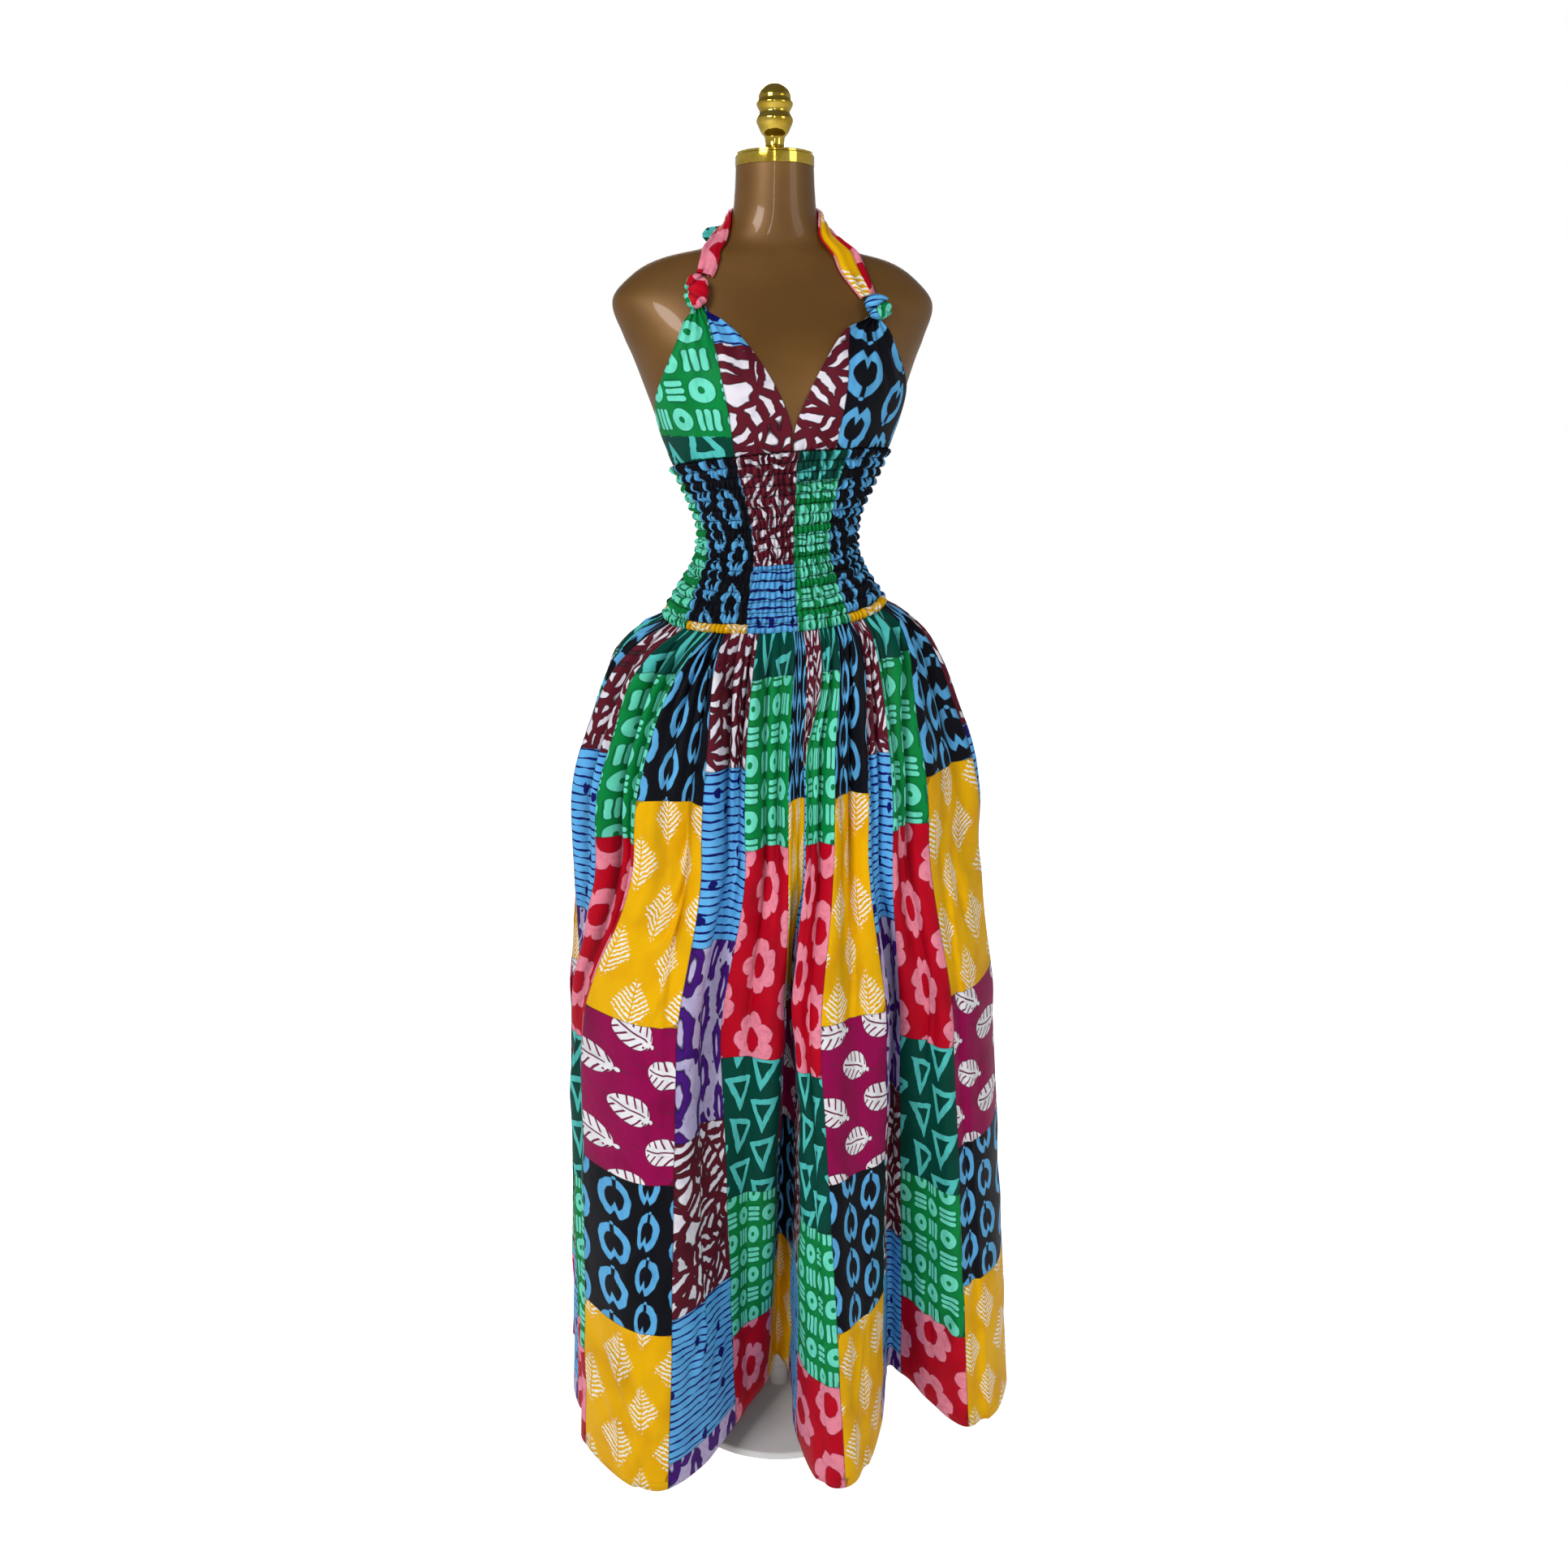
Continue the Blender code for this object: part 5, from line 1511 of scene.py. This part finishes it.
def make_form():
    bronze = bronze_material()
    gold = gold_material()
    heights = np.linspace(FORM_BOTTOM, FORM_TOP, FORM_RINGS)
    angles = np.linspace(0.0, 360.0, FORM_SIDES, endpoint=False)
    rings = skin_point(angles[None, :], heights[:, None])
    closed_body("form_torso_skin", rings, bronze)

    cap_foot = FORM_TOP + SEAM_GAP
    cap = rounded_profile(((0.0, CAP_RADIUS - 2 * CAP_LIP), (0.0, CAP_RADIUS),
                           (CAP_THICKNESS * 0.80, CAP_RADIUS),
                           (CAP_THICKNESS * 0.80, CAP_RADIUS - CAP_STEP),
                           (CAP_THICKNESS, CAP_RADIUS - CAP_STEP),
                           (CAP_THICKNESS, CAP_RADIUS - 0.012)), CAP_LIP)
    closed_body("form_neck_cap_gold", turned_rings(cap, NECK_MIDDLE, cap_foot, 96), gold)
    at = np.linspace(0.0, FINIAL_PROFILE[-1][0], 70)
    radius, = read_table(FINIAL_PROFILE, at)
    finial_foot = FORM_TOP + CAP_THICKNESS + 2 * SEAM_GAP
    finial = list(zip(at, np.maximum(radius, 0.002)))
    closed_body("form_finial_gold", turned_rings(finial, NECK_MIDDLE, finial_foot, 64), gold)


def make_stand():
    paint = paint_material("white_powder_coat", srgb(236, 236, 234), srgb(226, 226, 224))
    pole_paint = paint_material("pale_pole_coat", srgb(222, 222, 220), srgb(210, 210, 208))
    base = rounded_profile(((0.0, BASE_RADIUS * 0.98), (0.0, BASE_RADIUS),
                            (BASE_THICKNESS, BASE_RADIUS),
                            (BASE_THICKNESS, BASE_RADIUS * 0.5)), 0.004)
    closed_body("stand_base_plate", turned_rings(base, 0.0, 0.0, 120), paint)
    length_of_pole = FORM_BOTTOM - BASE_THICKNESS - 2 * SEAM_GAP
    pole = rounded_profile(((0.0, POLE_RADIUS), (COLLAR, POLE_RADIUS),
                            (COLLAR, POLE_RADIUS * 0.92),
                            (length_of_pole, POLE_RADIUS * 0.92)), 0.002)
    closed_body("stand_pole_tube", turned_rings(pole, 0.0, BASE_THICKNESS + SEAM_GAP, 48),
                pole_paint)


make_form()
make_stand()


# Studio

FLOOR_HALF = 14.0
FLOOR_GLOW = 0.26
GLOW_TO_VIEWER = 0.70
WORLD_LOW = (0.42, 0.42, 0.42)
WORLD_HIGH = (0.16, 0.16, 0.17)
# name, place, target, width, height, watts
LIGHTS = (
    ("key", (-1.9, -2.0, 2.7), (0.0, 0.0, 0.8), 1.1, 1.1, 56.0),
    ("fill", (1.9, -1.9, 2.0), (0.0, 0.0, 0.8), 1.0, 1.6, 12.0),
    ("strip", (-0.45, -2.5, 1.9), (0.0, 0.0, 1.4), 0.07, 1.3, 5.0),
    ("back", (0.3, 2.4, 2.6), (0.0, 0.0, 1.0), 1.6, 1.2, 36.0),
)


def make_floor():
    mesh = bpy.data.meshes.new("floor")
    corners = [(x * FLOOR_HALF, y * FLOOR_HALF, 0) for x, y in ((-1, -1), (1, -1), (1, 1), (-1, 1))]
    mesh.from_pydata(corners, [], [(0, 1, 2, 3)])
    material, tree, shader = new_material("floor_white")
    tree.links.new(ramp(tree, add_noise(tree, 0.4, 2.0), (0.895, 0.895, 0.895),
                        (0.905, 0.905, 0.905)), shader.inputs["Base Color"])
    shader.inputs["Roughness"].default_value = 0.9
    shader.inputs["Specular IOR Level"].default_value = 0.1
    shader.inputs["Emission Color"].default_value = (1.0, 1.0, 1.0, 1.0)
    # white to the viewer, and less of a lamp to the dress above it
    ray = tree.nodes.new("ShaderNodeLightPath")
    glow = Field(tree, ray.outputs["Is Camera Ray"]) * GLOW_TO_VIEWER + FLOOR_GLOW
    tree.links.new(glow.socket, shader.inputs["Emission Strength"])
    mesh.materials.append(material)
    add_object("floor", mesh)


def make_world():
    """A white studio, dimmer overhead so that gloss has something to show."""
    world = bpy.data.worlds.new("studio")
    world.use_nodes = True
    bpy.context.scene.world = world
    tree = world.node_tree
    background = tree.nodes["Background"]
    place = tree.nodes.new("ShaderNodeTexCoord")
    split = tree.nodes.new("ShaderNodeSeparateXYZ")
    tree.links.new(place.outputs["Generated"], split.inputs[0])
    shade = ramp(tree, split.outputs["Z"], WORLD_LOW, WORLD_HIGH, 0.20, 0.60)
    ray = tree.nodes.new("ShaderNodeLightPath")
    mix = tree.nodes.new("ShaderNodeMix")
    mix.data_type = "RGBA"
    tree.links.new(ray.outputs["Is Camera Ray"], mix.inputs[0])
    tree.links.new(shade, mix.inputs[6])
    mix.inputs[7].default_value = (1.0, 1.0, 1.0, 1.0)
    tree.links.new(mix.outputs[2], background.inputs["Color"])
    background.inputs["Strength"].default_value = 1.0


def area_light(name, place, target, width, height, power):
    light = bpy.data.lights.new(name, "AREA")
    light.shape = "RECTANGLE"
    light.size = width
    light.size_y = height
    light.energy = power
    lamp = add_object(name, light)
    lamp.location = place
    lamp.rotation_euler = (Vector(target) - Vector(place)).to_track_quat("-Z", "Y").to_euler()


def make_camera():
    turn = math.radians(CAMERA_TURN)
    ahead = Vector((math.sin(turn), math.cos(turn), 0.0))
    right = Vector((math.cos(turn), -math.sin(turn), 0.0))
    data = bpy.data.cameras.new("camera")
    data.sensor_width = SENSOR
    data.sensor_height = SENSOR
    data.sensor_fit = "HORIZONTAL"
    data.lens = FOCAL_PIXELS / PICTURE_PIXELS * SENSOR
    data.clip_end = 60.0
    camera = add_object("camera", data)
    camera.location = right * CAMERA_SIDE - ahead * CAMERA_DISTANCE
    camera.location.z = CAMERA_HEIGHT
    camera.rotation_euler = (math.radians(90.0 - CAMERA_PITCH), 0.0, -turn)
    bpy.context.scene.camera = camera


make_floor()
make_world()
for light in LIGHTS:
    area_light(*light)
make_camera()
bpy.context.scene.view_settings.view_transform = "Standard"
